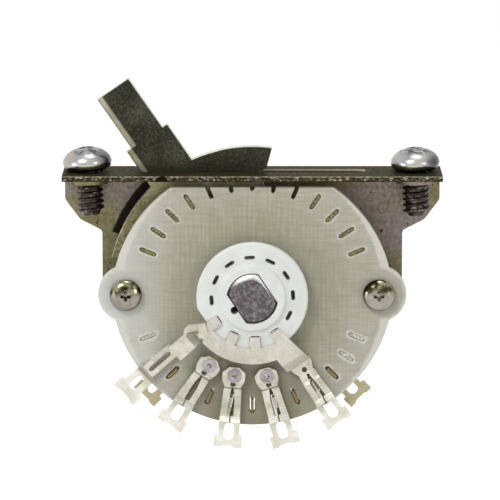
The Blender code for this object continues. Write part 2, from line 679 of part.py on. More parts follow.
def lever(pivot):
    """The handle and its fan, one flat blank that turns in the plate's slot."""
    tip = TIP_WIDTH / 2
    handle = HANDLE_WIDTH / 2
    root = math.degrees(math.acos(handle / FAN_RADIUS))
    end = 90 - FAN_ANGLE
    side = [(tip, HANDLE_REACH), (tip, HANDLE_SHOULDER), (handle, HANDLE_SHOULDER)]
    side += arc(FAN_RADIUS, root, end, 16)
    heel = FAN_RADIUS - FAN_HEIGHT
    side += [polar(heel + HEEL_CORNER, end + 0.9), polar(heel + HEEL_CORNER / 2, end + 1.2)]
    side += [polar(heel + HEEL_ROUND, end + 2.4), polar(heel, end + 4.4)]
    side += arc(LEVER_HUB_RADIUS, -12, -90, 10)[:-1]
    outline = mirrored(side + [(0, -LEVER_HUB_RADIUS)])
    bore = double_flat(BORE_RADIUS, BORE_FLATS)
    bm = flat([outline, bore], -LEVER_FACE, LEVER_FACE)
    obj = piece("lever", bm, pivot, NICKEL)
    obj.rotation_euler.z = LEVER_SLACK * DEGREE
    bevel = obj.modifiers.new("edge", "BEVEL")
    bevel.width = LEVER_EDGE
    bevel.segments = 1
    bevel.limit_method = "ANGLE"
    bevel.angle_limit = 60 * DEGREE


def shaft(pivot):
    """A turned shaft: flats in front, a shoulder, a journal and a clip groove."""
    front = ROTOR_TOP + SHAFT_PROUD
    shoulder = BUSH_FACE + SEAT
    groove = CLIP_FACE + SEAT / 2
    groove_end = CLIP_FACE - CLIP_THICKNESS - SEAT / 2
    chamfer = SHAFT_CHAMFER
    profile = [(0, SHAFT_END), (JOURNAL_RADIUS - 0.4 * MM, SHAFT_END)]
    profile += [(JOURNAL_RADIUS, SHAFT_END + 0.4 * MM), (JOURNAL_RADIUS, groove_end)]
    profile += [(GROOVE_RADIUS, groove_end), (GROOVE_RADIUS, groove), (JOURNAL_RADIUS, groove)]
    profile += [(JOURNAL_RADIUS, shoulder), (SHAFT_RADIUS, shoulder)]
    profile += [(SHAFT_RADIUS, front - 0.6 * chamfer), (SHAFT_RADIUS - chamfer, front), (0, front)]
    obj = piece("shaft", turned(profile), pivot, STEEL)
    flats = []
    for side in (-1, 1):
        near = side * SHAFT_FLATS / 2
        far = side * 2 * SHAFT_RADIUS
        wide = (-2 * SHAFT_RADIUS, 2 * SHAFT_RADIUS)
        flats.append(block((min(near, far), max(near, far)), wide, (ARM_BACK, front + SHEET)))
    join(obj, merged(flats), "DIFFERENCE")


def bearing(stator, pivot):
    """The bush in the web, and the clip that keeps the shaft in it."""
    bore = JOURNAL_RADIUS + RUNNING
    profile = [(bore, BUSH_END), (BUSH_RADIUS, BUSH_END), (BUSH_RADIUS, WEB_FACE + SEAT)]
    profile += [(BUSH_FLANGE_RADIUS, WEB_FACE + SEAT), (BUSH_FLANGE_RADIUS, BUSH_FACE)]
    profile += [(bore, BUSH_FACE)]
    piece("shaft_bush", turned(profile), stator, BRASS)

    grip = GROOVE_RADIUS + SEAT / 2
    relief = (grip + CLIP_RADIUS) / 2
    inside = arc(grip, 150, 120, 3) + arc(relief, 115, 20, 8)
    inside += arc(grip, 15, -15, 3) + arc(relief, -20, -115, 8) + arc(grip, -120, -150, 3)
    outline = inside + arc(CLIP_RADIUS, -150, 150, 32)
    clip = flat([outline], CLIP_FACE - CLIP_THICKNESS, CLIP_FACE)
    piece("retaining_clip", clip, pivot, STEEL)


def index_arm(pivot):
    """The spring arm behind the lever and the two balls that it presses back."""
    ball_height = WEB_FACE + BALL_LIFT + BALL_RADIUS
    lap = ARM_BACK - ball_height
    hole = math.sqrt(BALL_RADIUS**2 - lap**2) + 0.04 * MM
    side = arc(LEVER_HUB_RADIUS, 90, 40, 6)
    side += arc(ARM_END_RADIUS, 70, -70, 12, (BALL_CIRCLE, 0))
    side += arc(LEVER_HUB_RADIUS, -40, -90, 6)
    loops = [mirrored(side), double_flat(BORE_RADIUS, BORE_FLATS)]
    loops += [circle(hole, (BALL_CIRCLE, 0), 24), circle(hole, (-BALL_CIRCLE, 0), 24)]
    piece("index_arm", flat(loops, ARM_BACK, ARM_FACE), pivot, STEEL)
    for name, x in (("left", -BALL_CIRCLE), ("right", BALL_CIRCLE)):
        bm = bmesh.new()
        bmesh.ops.create_uvsphere(bm, u_segments=16, v_segments=9, radius=BALL_RADIUS)
        piece("index_ball_" + name, placed(bm, 0, (x, 0, ball_height)), pivot, CHROME)


def rotor_cuts(low, high, offset):
    """The bore with its key notch and the ring of tab slots, as one cutter each."""
    bore = flat([double_flat(BORE_RADIUS, BORE_FLATS)], low, high)
    slots = []
    for number in range(TAB_SLOTS):
        turn = offset + number * 360 / TAB_SLOTS
        centre = polar(TAB_SLOT_RADIUS, turn)
        outline = stadium(TAB_SLOT_LENGTH, TAB_SLOT_WIDTH, centre, turn + 90, 3)
        slots.append(flat([outline], low, high))
    return bore, merged(slots)


def rotor(pivot, lag):
    """The two moulded halves: a domed front flange with a barrel, and a rear flange."""
    edge = 0.2 * MM
    seat = WAFER_FACE + SEAT
    under = ROTOR_FACE - FLANGE_THICKNESS
    barrel = WAFER_BORE_RADIUS - RUNNING - 0.1 * MM
    profile = [(0, ROTOR_SPLIT), (barrel, ROTOR_SPLIT), (barrel, seat), (ROTOR_BOSS_RADIUS, seat)]
    profile += [(ROTOR_BOSS_RADIUS, under), (FLANGE_RADIUS - edge, under)]
    profile += [(FLANGE_RADIUS, under + edge), (FLANGE_RADIUS, ROTOR_FACE - edge)]
    profile += [(FLANGE_RADIUS - edge, ROTOR_FACE), (ROTOR_DOME_RADIUS + 0.4 * MM, ROTOR_FACE)]
    profile += [(ROTOR_DOME_RADIUS, ROTOR_FACE + 0.25 * ROTOR_DOME)]
    profile += [(ROTOR_DOME_RADIUS - edge, ROTOR_FACE + 0.8 * ROTOR_DOME)]
    profile += [(ROTOR_DOME_RADIUS - 2.5 * edge, ROTOR_TOP), (0, ROTOR_TOP)]
    front = piece("rotor_front", turned(profile, 40), pivot, NYLON)
    bore, slots = rotor_cuts(ROTOR_SPLIT - SHEET, ROTOR_TOP + SHEET, 0)
    join(front, bore, "DIFFERENCE")
    join(front, slots, "DIFFERENCE")
    notch = circle(KEY_RADIUS, (-BORE_FLATS / 2 - 0.3 * MM, 0), 16)
    join(front, flat([notch], ROTOR_SPLIT - SHEET, ROTOR_TOP + SHEET), "DIFFERENCE")
    wide = (-2 * FLANGE_RADIUS, 2 * FLANGE_RADIUS)
    trim = block((-2 * FLANGE_RADIUS, -FLANGE_FLAT), wide, (under - edge, ROTOR_TOP + edge))
    join(front, trim, "DIFFERENCE")

    top = WAFER_BACK - REAR_FLANGE_TOP
    near = ROTOR_SPLIT - SEAT / 2
    profile = [(0, top), (FLANGE_RADIUS - edge, top), (FLANGE_RADIUS, top + edge)]
    profile += [(FLANGE_RADIUS, near - edge), (FLANGE_RADIUS - edge, near), (0, near)]
    rear = piece("rotor_rear", turned(profile, 36), pivot, NYLON)
    bore, slots = rotor_cuts(top - SHEET, near + SHEET, lag)
    join(rear, bore, "DIFFERENCE")
    join(rear, slots, "DIFFERENCE")


def blade_shape(rise, lobe_height, tab_depth):
    """A contact ring, drawn with its lobe along X and its upper face at rise."""
    tip = LOBE_REACH
    half_tab = TAB_WIDTH / 2
    leg = TAB_SLOT_RADIUS + BLADE / 2
    pitch = 360 / TAB_SLOTS
    outline = [(leg, half_tab), (RING_INNER_RADIUS, RING_SHOULDER), (LOBE_CREASE, LOBE_RIGHT)]
    outline += [(tip - 0.15 * MM, LOBE_RIGHT + 0.1 * MM), (tip, 0)]
    outline += [(tip - 0.15 * MM, -LOBE_LEFT + 0.15 * MM)]
    root = -math.degrees(math.asin(LOBE_LEFT / RING_RADIUS))
    outline += arc(RING_RADIUS, root, RING_END + 2.5, 18)
    outline += [polar(RING_RADIUS - 0.45 * RING_WIDTH, RING_END - 2.2)]
    edge = math.degrees(math.asin(half_tab / RING_INNER_RADIUS))
    for number in reversed(range(TAB_COUNT)):
        turn = -number * pitch
        c, s = polar(1.0, turn)
        inner = math.sqrt(RING_INNER_RADIUS**2 - half_tab**2)
        corners = [(inner, -half_tab), (leg, -half_tab), (leg, half_tab), (inner, half_tab)]
        if number == 0:
            corners = corners[:2]
        outline += [(x * c - y * s, x * s + y * c) for x, y in corners]
        if number:
            outline += arc(RING_INNER_RADIUS, turn + edge, turn + pitch - edge, 4)[1:-1]
    bm = flat([outline], 0, BLADE)
    path = [(-RING_RADIUS, rise), (LOBE_CREASE, rise), (LOBE_REACH, lobe_height + BLADE)]
    drape(bm, rising(path), BLADE)
    tabs = []
    for number in range(TAB_COUNT):
        inner = TAB_SLOT_RADIUS - BLADE / 2
        root = (inner, leg + TAB_LAP)
        tab = block(root, (-half_tab, half_tab), (rise - tab_depth, rise - 0.4 * TAB_LAP))
        tabs.append(placed(tab, -number * pitch))
    return bm, merged(tabs)


def blades(pivot, lag):
    """The front ring, and the rear one that lags behind it by one slot."""
    lobe_height = PAD_HEIGHT + CONTACT_GAP
    rise = FRONT_BLADE_FACE - WAFER_FACE
    bm, tabs = blade_shape(rise, lobe_height, FRONT_TAB_DEPTH)
    front = piece("front_contact_blade", placed(bm, 0, (0, 0, WAFER_FACE)), pivot, SILVER)
    front.rotation_euler.z = -90 * DEGREE
    helper = join(front, placed(tabs, 0, (0, 0, WAFER_FACE)), "UNION")
    helper.rotation_euler.z = -90 * DEGREE

    rise = WAFER_BACK - REAR_BLADE_FACE
    bm, tabs = blade_shape(rise, lobe_height, REAR_TAB_DEPTH)
    rear = piece("rear_contact_blade", placed(flipped(bm), 0, (0, 0, WAFER_BACK)), pivot, SILVER)
    rear.rotation_euler.z = (lag - 90) * DEGREE
    helper = join(rear, placed(flipped(tabs), 0, (0, 0, WAFER_BACK)), "UNION")
    helper.rotation_euler.z = (lag - 90) * DEGREE


def lug_outline(start, end, bar, waist):
    """The right half of a solder lug, from its waist out to the cross bar."""
    neck = end - BAR_LENGTH
    half_bar = bar / 2
    foot = 0.42 * half_bar
    points = [(start, waist / 2), (neck, waist / 2), (neck, half_bar)]
    points += [(end + BAR_FOOT, half_bar), (end + BAR_FOOT, half_bar - foot)]
    points += [(end - BAR_FOOT, half_bar - 1.5 * foot)]
    return points


def both_sides(points):
    """Points on the +Y side of a strip, then their mirror images."""
    return points + [(x, -y) for x, y in reversed(points)]


def throw_strip(path, side_shift, lean):
    """One throw's clip: a pad, two legs and a lug, drawn along X from the axis."""
    neck = NECK_WIDTH / 2
    legs = LEG_WIDTH / 2
    half_pad = PAD_WIDTH / 2
    half_length = PAD_LENGTH / 2
    cut = math.tan(22.5 * DEGREE)
    side = [(PAD_CENTRE - half_length, cut * half_pad)]
    side += [(PAD_CENTRE - cut * half_length, half_pad), (PAD_CENTRE + cut * half_length, half_pad)]
    side += [(NECK_END - 0.3 * NECK_LENGTH, neck - 0.1 * MM), (NECK_END, neck), (SHELF, legs)]
    side += lug_outline(SHELF + SHELF_LENGTH, LUG_END, BAR_WIDTH, LUG_WIDTH)
    gap = LEG_GAP / 2
    slit = 0.08 * MM
    eye = EYE_WIDTH / 2
    eye_start = SHELF + SHELF_LENGTH + 0.1 * MM
    eye_end = LUG_END - BAR_FOOT - BAR_WEB
    length = SHELF - NECK_END
    hole = [(NECK_END + 0.1 * MM, 0.14 * MM), (NECK_END + 0.16 * length, 0.5 * gap)]
    hole += [(NECK_END + 0.4 * length, 0.85 * gap), (SHELF - 0.1 * MM, gap)]
    hole += [(SHELF, slit), (eye_start, slit), (eye_start + 0.15 * eye, 0.6 * eye)]
    hole += [(eye_start + 0.6 * eye, 0.94 * eye)]
    hole += arc(eye, 90, 18, 4, (eye_end - eye, 0))
    pin = circle(0.36 * MM, (NECK_END - 0.55 * MM, 0), 10)
    bm = flat([both_sides(side), both_sides(hole), pin], 0, STRIP)
    drape(bm, path, STRIP)
    return placed(bm, lean, (0, side_shift, 0), (SLOT_RING_RADIUS, 0, 0))


def clinch(root_end):
    """The tongue that holds a clip in its slot, and its root at the opening's outer end."""
    half = CLINCH_WIDTH / 2
    start = SLOT_RING_RADIUS - CLINCH_LENGTH / 2
    end = SLOT_RING_RADIUS + CLINCH_LENGTH / 2
    near = LEG_HEIGHT - CLINCH_SINK
    tab = block((start, end), (-half, half), (-WAFER_THICKNESS - CLINCH_TAIL, near))
    root = block(
        (end - STRIP, root_end),
        (-half, half),
        (near - STRIP, LEG_HEIGHT - 0.04 * MM),
    )
    return tab, root


def terminal(name, stator, bm, slot, finish, root_end, rear=False):
    """Sets a clip in its wafer slot, on the front or turned over on the back."""
    height = WAFER_BACK if rear else WAFER_FACE
    turn = flipped if rear else (lambda shape: shape)
    obj = piece(name, placed(turn(bm), 0, (0, 0, height)), stator, finish, smooth=False)
    obj.rotation_euler.z = slot * DEGREE
    for part in clinch(root_end):
        helper = join(obj, placed(turn(part), 0, (0, 0, height)), "UNION")
        helper.rotation_euler.z = slot * DEGREE


def throw_path(made):
    """How a throw's clip stands off the wafer, with its pad free or pressed."""
    lug = (SHELF + SHELF_LENGTH, LUG_HEIGHT)
    end = (LUG_END + 1 * MM, LUG_HEIGHT)
    start = PAD_CENTRE - PAD_WIDTH
    if made:
        pad = [(start, MADE_PAD_HEIGHT), (NECK_END + 0.45 * MM, MADE_PAD_HEIGHT)]
        pad += [(NECK_END + 1.15 * MM, LEG_HEIGHT + 0.4 * MM)]
    else:
        pad = [(start, PAD_HEIGHT), (NECK_END - 0.15 * MM, PAD_HEIGHT)]
        pad += [(NECK_END + 0.1 * MM, LEG_HEIGHT)]
    return rising(pad + [(SHELF, LEG_HEIGHT), lug, end])


def bent_path():
    """A rear throw whose lug is bent back, away from the wafer."""
    path = throw_path(False)[:4]
    length = LUG_END + 1 * MM - SHELF
    x, y = polar(length, 75)
    return path + [(SHELF + length, SHELF + x, LEG_HEIGHT + y)]


def common_strip(height, jaw_height, lug, lean, offset):
    """The common clip: a lug, a raised box, and two jaws that grip the ring."""
    middle = SLOT_RING_RADIUS
    box_in = middle - COMMON_BOX_INNER
    box_out = middle - COMMON_BOX_OUTER
    jaw_end = middle - JAW_REACH
    body = COMMON_WIDTH / 2
    shelf = middle + COMMON_SHELF
    outer = middle + lug
    foot = lug_outline(shelf + 0.35 * MM, outer, BAR_WIDTH, LUG_WIDTH)
    up = [(jaw_end, JAW_TIP), (box_in - JAW_SLOPE, JAW_RIGHT), (box_in, COMMON_BOX_RIGHT)]
    up += [(box_out, COMMON_BOX_RIGHT), (box_out + 0.15 * MM, body), (shelf, body)] + foot
    down = [(jaw_end, JAW_LEFT), (box_in - JAW_SLOPE, JAW_LEFT), (box_in, -COMMON_BOX_LEFT)]
    down += [(box_out, -COMMON_BOX_LEFT), (box_out + 0.15 * MM, -body), (shelf, -body)]
    down += [(x, -y) for x, y in foot]
    slot = stadium(COMMON_SLOT, COMMON_SLOT_WIDTH, (middle - 0.1 * MM, 0), 0, 4)
    eye_middle = (shelf + 0.5 * MM + outer - BAR_WEB) / 2
    eye = stadium(COMMON_EYE * lug / FRONT_COMMON_LUG, COMMON_EYE_WIDTH, (eye_middle, 0), 0, 6)
    bm = flat([up + list(reversed(down)), slot, eye], 0, STRIP)
    path = [(jaw_end - 1 * MM, jaw_height), (box_in - 0.9 * JAW_SLOPE, jaw_height)]
    path += [(box_in, height)]
    path += [(box_out, height), (box_out + 0.25 * MM, LEG_HEIGHT), (shelf, LEG_HEIGHT)]
    path += [(shelf + 0.5 * MM, LUG_HEIGHT), (outer + 1 * MM, LUG_HEIGHT)]
    drape(bm, rising(path), STRIP)
    inner = box_in + 0.4 * MM
    hook = [(0, -0.8), (-0.4, -0.87), (-0.82, -1.32), (-1.67, -1.36), (-3.33, -0.14)]
    hook += [(-2.75, 1.02), (-1.81, 1.25), (-1.56, 0.56), (-2.1, -0.04), (-0.88, -0.72)]
    hook += [(-0.4, -0.5), (0, -0.3)]
    outline = [(inner + x * MM, y * MM) for x, y in hook]
    jaw = flat([outline], height - STRIP + 0.03 * MM, height + 0.03 * MM)
    pivot = (middle, 0, 0)
    shift = (offset[0], offset[1], 0)
    return placed(bm, lean, shift, pivot), placed(jaw, lean, shift, pivot)


def common_terminal(name, stator, shapes, slot, finish, rear=False):
    """Sets a common clip in its slot and joins its upper jaw to it."""
    strip, jaw = shapes
    root_end = SLOT_RING_RADIUS + COMMON_SLOT / 2 + 0.1 * MM
    terminal(name, stator, strip, slot, finish, root_end, rear)
    height = WAFER_BACK if rear else WAFER_FACE
    shape = flipped(jaw) if rear else jaw
    helper = join(bpy.data.objects[name], placed(shape, 0, (0, 0, height)), "UNION")
    helper.rotation_euler.z = slot * DEGREE


def terminals(stator):
    """The ten clips: a common and four throws on each side of the wafer."""
    root_end = SHELF + 0.1 * MM
    play = (0.275 * MM, 0.54 * MM)
    shapes = common_strip(FRONT_COMMON_HEIGHT, FRONT_JAW_HEIGHT, FRONT_COMMON_LUG, 8.25, play)
    common_terminal("front_common_terminal", stator, shapes, FRONT_COMMON_SLOT, SILVER)
    for number, (slot, lean, side) in enumerate(FRONT_THROWS, 1):
        bm = throw_strip(throw_path(number == POSITIONS), side, lean)
        terminal(f"front_throw_terminal_{number}", stator, bm, slot, SILVER, root_end)

    shapes = common_strip(REAR_COMMON_HEIGHT, REAR_JAW_HEIGHT, REAR_COMMON_LUG, 0, (0, 0))
    common_terminal("rear_common_terminal", stator, shapes, REAR_COMMON_SLOT, TIN, True)
    for number, slot in enumerate(REAR_THROWS, 1):
        made = number == POSITIONS
        path = throw_path(True) if made else bent_path()
        bm = throw_strip(path, 0, 0)
        terminal(f"rear_throw_terminal_{number}", stator, bm, slot, TIN, root_end, True)


def main():
    for obj in list(bpy.data.objects):
        bpy.data.objects.remove(obj)
    stator = empty("shaft_axis", None, (0, 0, -SHAFT_DROP), (90 * DEGREE, 0, 0))
    pivot = empty("lever_pivot", stator, rotation=(0, 0, REST_LEAN * DEGREE))
    lag = REAR_THROWS[-1] - FRONT_THROWS[-1][0]
    bracket(stator)
    wafer(stator)
    mounting_screws()
    wafer_fixings(stator)
    bearing(stator, pivot)
    lever(pivot)
    shaft(pivot)
    index_arm(pivot)
    rotor(pivot, lag)
    blades(pivot, lag)
    terminals(stator)


main()
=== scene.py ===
# %% [markdown]
# # A lever selector switch for an electric guitar
#
# The CAD frame already holds every solid of the switch in metres, with the
# mounting plate's top face at height 0 and the shaft along Y. This lesson
# gives those solids the look of the real switch: rolled edges on stamped
# metal, a helical thread on the screws, a woven board and plated finishes.

import json
import math

import bmesh
import bpy
from mathutils import Matrix, Vector


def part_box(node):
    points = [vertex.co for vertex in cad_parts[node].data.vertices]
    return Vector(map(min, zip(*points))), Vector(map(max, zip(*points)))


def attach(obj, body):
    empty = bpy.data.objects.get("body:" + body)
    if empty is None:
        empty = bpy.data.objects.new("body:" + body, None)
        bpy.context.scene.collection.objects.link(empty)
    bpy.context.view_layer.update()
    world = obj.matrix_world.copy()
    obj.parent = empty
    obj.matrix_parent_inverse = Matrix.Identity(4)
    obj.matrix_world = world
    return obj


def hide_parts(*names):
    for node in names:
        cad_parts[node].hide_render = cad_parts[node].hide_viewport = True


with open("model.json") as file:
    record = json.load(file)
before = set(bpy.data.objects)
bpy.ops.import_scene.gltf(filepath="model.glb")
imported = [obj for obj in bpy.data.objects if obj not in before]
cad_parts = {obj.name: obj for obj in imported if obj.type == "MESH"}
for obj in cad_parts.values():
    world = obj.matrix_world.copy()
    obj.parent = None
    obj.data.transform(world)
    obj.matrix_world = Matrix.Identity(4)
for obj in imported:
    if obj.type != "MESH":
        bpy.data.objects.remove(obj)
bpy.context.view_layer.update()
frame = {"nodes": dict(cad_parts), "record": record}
MM = 0.001
DEGREE = math.pi / 180
SHAFT = Vector(frame["record"]["behaviour"]["joints"][0]["pos_m"])
SHAFT_DROP = round(-SHAFT.z / MM, 3)
LEAN = 34.55 * DEGREE
scene = bpy.context.scene

# %% [markdown]
# ## Camera
#
# The photograph looks at the switch from straight in front and 9 degrees
# above, from about half a metre. A long lens does that. At the switch the
# picture is nearly 63 mm wide, so the focal length follows from the sensor's
# width, the distance and that span.

# %% Camera
SENSOR = 36
CAMERA_HEIGHT = 9 * DEGREE
CAMERA_DISTANCE = 490 * MM
PICTURE_SPAN = 62.97 * MM
AIM = Vector((-0.29 * MM, 0, -10.17 * MM))

lens = bpy.data.cameras.new("camera")
lens.sensor_width = SENSOR
lens.lens = SENSOR * CAMERA_DISTANCE / PICTURE_SPAN
lens.clip_start = 0.01
lens.clip_end = 20
camera = bpy.data.objects.new("camera", lens)
away = Vector((0, -math.cos(CAMERA_HEIGHT), math.sin(CAMERA_HEIGHT)))
camera.location = CAMERA_DISTANCE * away
camera.rotation_euler = (AIM - camera.location).to_track_quat("-Z", "Y").to_euler()
scene.collection.objects.link(camera)
scene.camera = camera
print(f"camera: {lens.lens:.0f} mm lens, {camera.location.z / MM:.1f} mm above the plate")

# %% [markdown]
# ## Backdrop and floor
#
# The switch was shot on white and hangs free, as it does below a control
# plate. A floor bright enough to look white would also flood the switch from
# below. Light Path tells the two apart: world and floor are white for rays
# from the camera, a mirror-like surface or glass, and dimmer for the rays
# that light the switch, which keeps the pale plastic from burning out.

# %% World
FILL = 0.5


def looked_at(tree):
    """A value that is 1 for the rays that show a surface and 0 for those that light it."""
    rays = tree.nodes.new("ShaderNodeLightPath")
    shown = rays.outputs["Is Camera Ray"]
    for kind in ("Is Glossy Ray", "Is Transmission Ray"):
        either = tree.nodes.new("ShaderNodeMath")
        either.operation = "MAXIMUM"
        tree.links.new(shown, either.inputs[0])
        tree.links.new(rays.outputs[kind], either.inputs[1])
        shown = either.outputs[0]
    return shown


world = bpy.data.worlds.new("studio")
world.use_nodes = True
scene.world = world
tree = world.node_tree
strength = tree.nodes.new("ShaderNodeMapRange")
strength.inputs["To Min"].default_value = FILL
strength.inputs["To Max"].default_value = 1.0
tree.links.new(looked_at(tree), strength.inputs["Value"])
tree.links.new(strength.outputs[0], tree.nodes["Background"].inputs["Strength"])
tree.nodes["Background"].inputs["Color"].default_value = (1, 1, 1, 1)
print("fill light:", FILL)

# %% Floor
FLOOR = -90 * MM
GLOW = 0.47

floor_paint = bpy.data.materials.new("floor")
floor_paint.use_nodes = True
tree = floor_paint.node_tree
shader = tree.nodes["Principled BSDF"]
shader.inputs["Base Color"].default_value = (0.92, 0.92, 0.92, 1)
shader.inputs["Roughness"].default_value = 0.9
shader.inputs["Emission Color"].default_value = (1, 1, 1, 1)
glow = tree.nodes.new("ShaderNodeMapRange")
glow.inputs["To Max"].default_value = GLOW
tree.links.new(looked_at(tree), glow.inputs["Value"])
tree.links.new(glow.outputs[0], shader.inputs["Emission Strength"])

ground = bmesh.new()
bmesh.ops.create_grid(ground, x_segments=1, y_segments=1, size=1.5)
bmesh.ops.translate(ground, verts=ground.verts, vec=(0, 0, FLOOR))
mesh = bpy.data.meshes.new("floor")
ground.to_mesh(mesh)
ground.free()
floor = bpy.data.objects.new("floor", mesh)
mesh.materials.append(floor_paint)
scene.collection.objects.link(floor)
print("floor at", FLOOR / MM, "mm")

# %% [markdown]
# ## Lamps
#
# Soft square lamps stand for the softboxes of a product shot. The key hangs
# in front and to the left, where the board is palest. A weaker one overhead
# picks out every edge and fold that faces up, and two small ones on the sides
# draw the bright spots on the screw heads. Even light from the world alone
# would leave the metal flat.

# %% Lamps
def lamp(name, size, power, place, target):
    """A soft square lamp that looks from its place to a target."""
    light = bpy.data.lights.new(name, "AREA")
    light.size = size
    light.energy = power
    holder = bpy.data.objects.new(name, light)
    holder.location = place
    facing = Vector(target) - Vector(place)
    holder.rotation_euler = facing.to_track_quat("-Z", "Y").to_euler()
    scene.collection.objects.link(holder)


lamp("key", 0.24, 2.2, (-0.3, -0.5, 0.45), AIM)
lamp("overhead", 0.3, 1.0, (0.05, -0.08, 0.7), AIM)
lamp("left", 0.16, 0.6, (-0.6, -0.3, 0.0), AIM)
lamp("right", 0.16, 0.5, (0.45, -0.5, 0.12), AIM)
scene.view_settings.view_transform = "Standard"

# %% [markdown]
# ## Finishes
#
# Most finishes here are plated or moulded, so each has one main colour with a
# faint drift over it. Colours are written as they look on screen, because
# that is how they are read off, and are turned into the linear
# values that a shader works with.

# %% Colours
def tint(red, green, blue):
    """A colour as it looks on screen, 0 to 255, as linear values with alpha."""
    values = []
    for level in (red, green, blue):
        share = level / 255
        values.append(share / 12.92 if share <= 0.04045 else ((share + 0.055) / 1.055) ** 2.4)
    return (*values, 1.0)


print("screen grey 128 is", round(tint(128, 128, 128)[0], 3), "in linear light")

# %% [markdown]
# A painted image would need a flat map of every piece. Nodes need none: they
# work a colour out for any place in space. Object coordinates give the place
# in metres, and a Mapping node turns that into millimetres. Noise is read at
# the same places, so a pattern stays on its piece when the lever turns.

# %% Places and noise
class Surface:
    """A material with a Principled shader, and the places that its nodes read."""

    def __init__(self, name, metallic, roughness):
        self.material = bpy.data.materials.new(name)
        self.material.use_nodes = True
        self.nodes = self.material.node_tree.nodes
        self.links = self.material.node_tree.links
        self.shader = self.nodes["Principled BSDF"]
        self.shader.inputs["Metallic"].default_value = metallic
        self.shader.inputs["Roughness"].default_value = roughness
        self.coordinates = self.nodes.new("ShaderNodeTexCoord")

    def mapped(self, scale=(1, 1, 1), turn=(0, 0, 0), shift=(0, 0, 0)):
        """Object coordinates in millimetres: stretched, turned, then shifted."""
        mapping = self.nodes.new("ShaderNodeMapping")
        mapping.inputs["Location"].default_value = shift
        mapping.inputs["Scale"].default_value = [value / MM for value in scale]
        mapping.inputs["Rotation"].default_value = turn
        self.links.new(self.coordinates.outputs["Object"], mapping.inputs["Vector"])
        return mapping.outputs[0]

    def split(self, vector, axis):
        """One of the three numbers of a vector."""
        step = self.nodes.new("ShaderNodeSeparateXYZ")
        self.links.new(vector, step.inputs[0])
        return step.outputs[axis]

    def along(self, axis):
        """The place along an axis, in millimetres."""
        return self.split(self.mapped(), axis)

    def facing(self, axis):
        """How far the surface faces along an axis of the object, from -1 to 1."""
        return self.split(self.coordinates.outputs["Normal"], axis)

    def noise(self, scale, detail=4.0, stretch=(1, 1, 1)):
        """Cloudy values whose clouds are about 1 / scale millimetres across."""
        cloud = self.nodes.new("ShaderNodeTexNoise")
        cloud.inputs["Scale"].default_value = scale
        cloud.inputs["Detail"].default_value = detail
        self.links.new(self.mapped(stretch), cloud.inputs["Vector"])
        return cloud.outputs["Fac"]


print("places are in units of", MM, "metres")

# %% [markdown]
# A worn edge, a halo or a row of grooves lies where some sum over the place
# comes out right, and Math nodes do such sums. Their result is a mask, which
# is 1 where a mark lies and 0 elsewhere. These short names keep the sums
# readable, since every one of them is a node that has to be wired up.

# %% Sums and masks
class Masks(Surface):
    """A surface with the arithmetic that finds where a mark lies."""

    def math(self, operation, first, second=0.0):
        """One step of arithmetic on values or numbers."""
        step = self.nodes.new("ShaderNodeMath")
        step.operation = operation
        for socket, value in zip(step.inputs, (first, second)):
            if isinstance(value, (int, float)):
                socket.default_value = value
            else:
                self.links.new(value, socket)
        return step.outputs[0]

    def plus(self, first, second):
        return self.math("ADD", first, second)

    def minus(self, first, second):
        return self.math("SUBTRACT", first, second)

    def size(self, value):
        """A value without its sign."""
        return self.math("ABSOLUTE", value)

    def above(self, value, limit):
        """A mask of where a value is over a limit."""
        return self.math("GREATER_THAN", value, limit)

    def below(self, value, limit):
        """A mask of where a value is under a limit."""
        return self.math("LESS_THAN", value, limit)

    def either(self, first, second):
        """The larger of two masks, which is 1 where either of them is."""
        return self.math("MAXIMUM", first, second)

    def both(self, *masks):
        """The product of several masks, which is 1 only where all of them are."""
        result = masks[0]
        for mask in masks[1:]:
            result = self.math("MULTIPLY", result, mask)
        return result

    def span(self, value, low, high, to_low, to_high):
        """Moves a value from one range to another, and clamps it there."""
        step = self.nodes.new("ShaderNodeMapRange")
        step.inputs["From Min"].default_value = low
        step.inputs["From Max"].default_value = high
        step.inputs["To Min"].default_value = to_low
        step.inputs["To Max"].default_value = to_high
        self.links.new(value, step.inputs["Value"])
        return step.outputs[0]


print("masks ready")

# %% [markdown]
# Most marks on this switch are round: they lie about its shaft, or repeat at
# an even pitch. A finish adds the sums for those, and the last steps of every
# material: mixing colours, and wiring colour, roughness and bump to the shader.

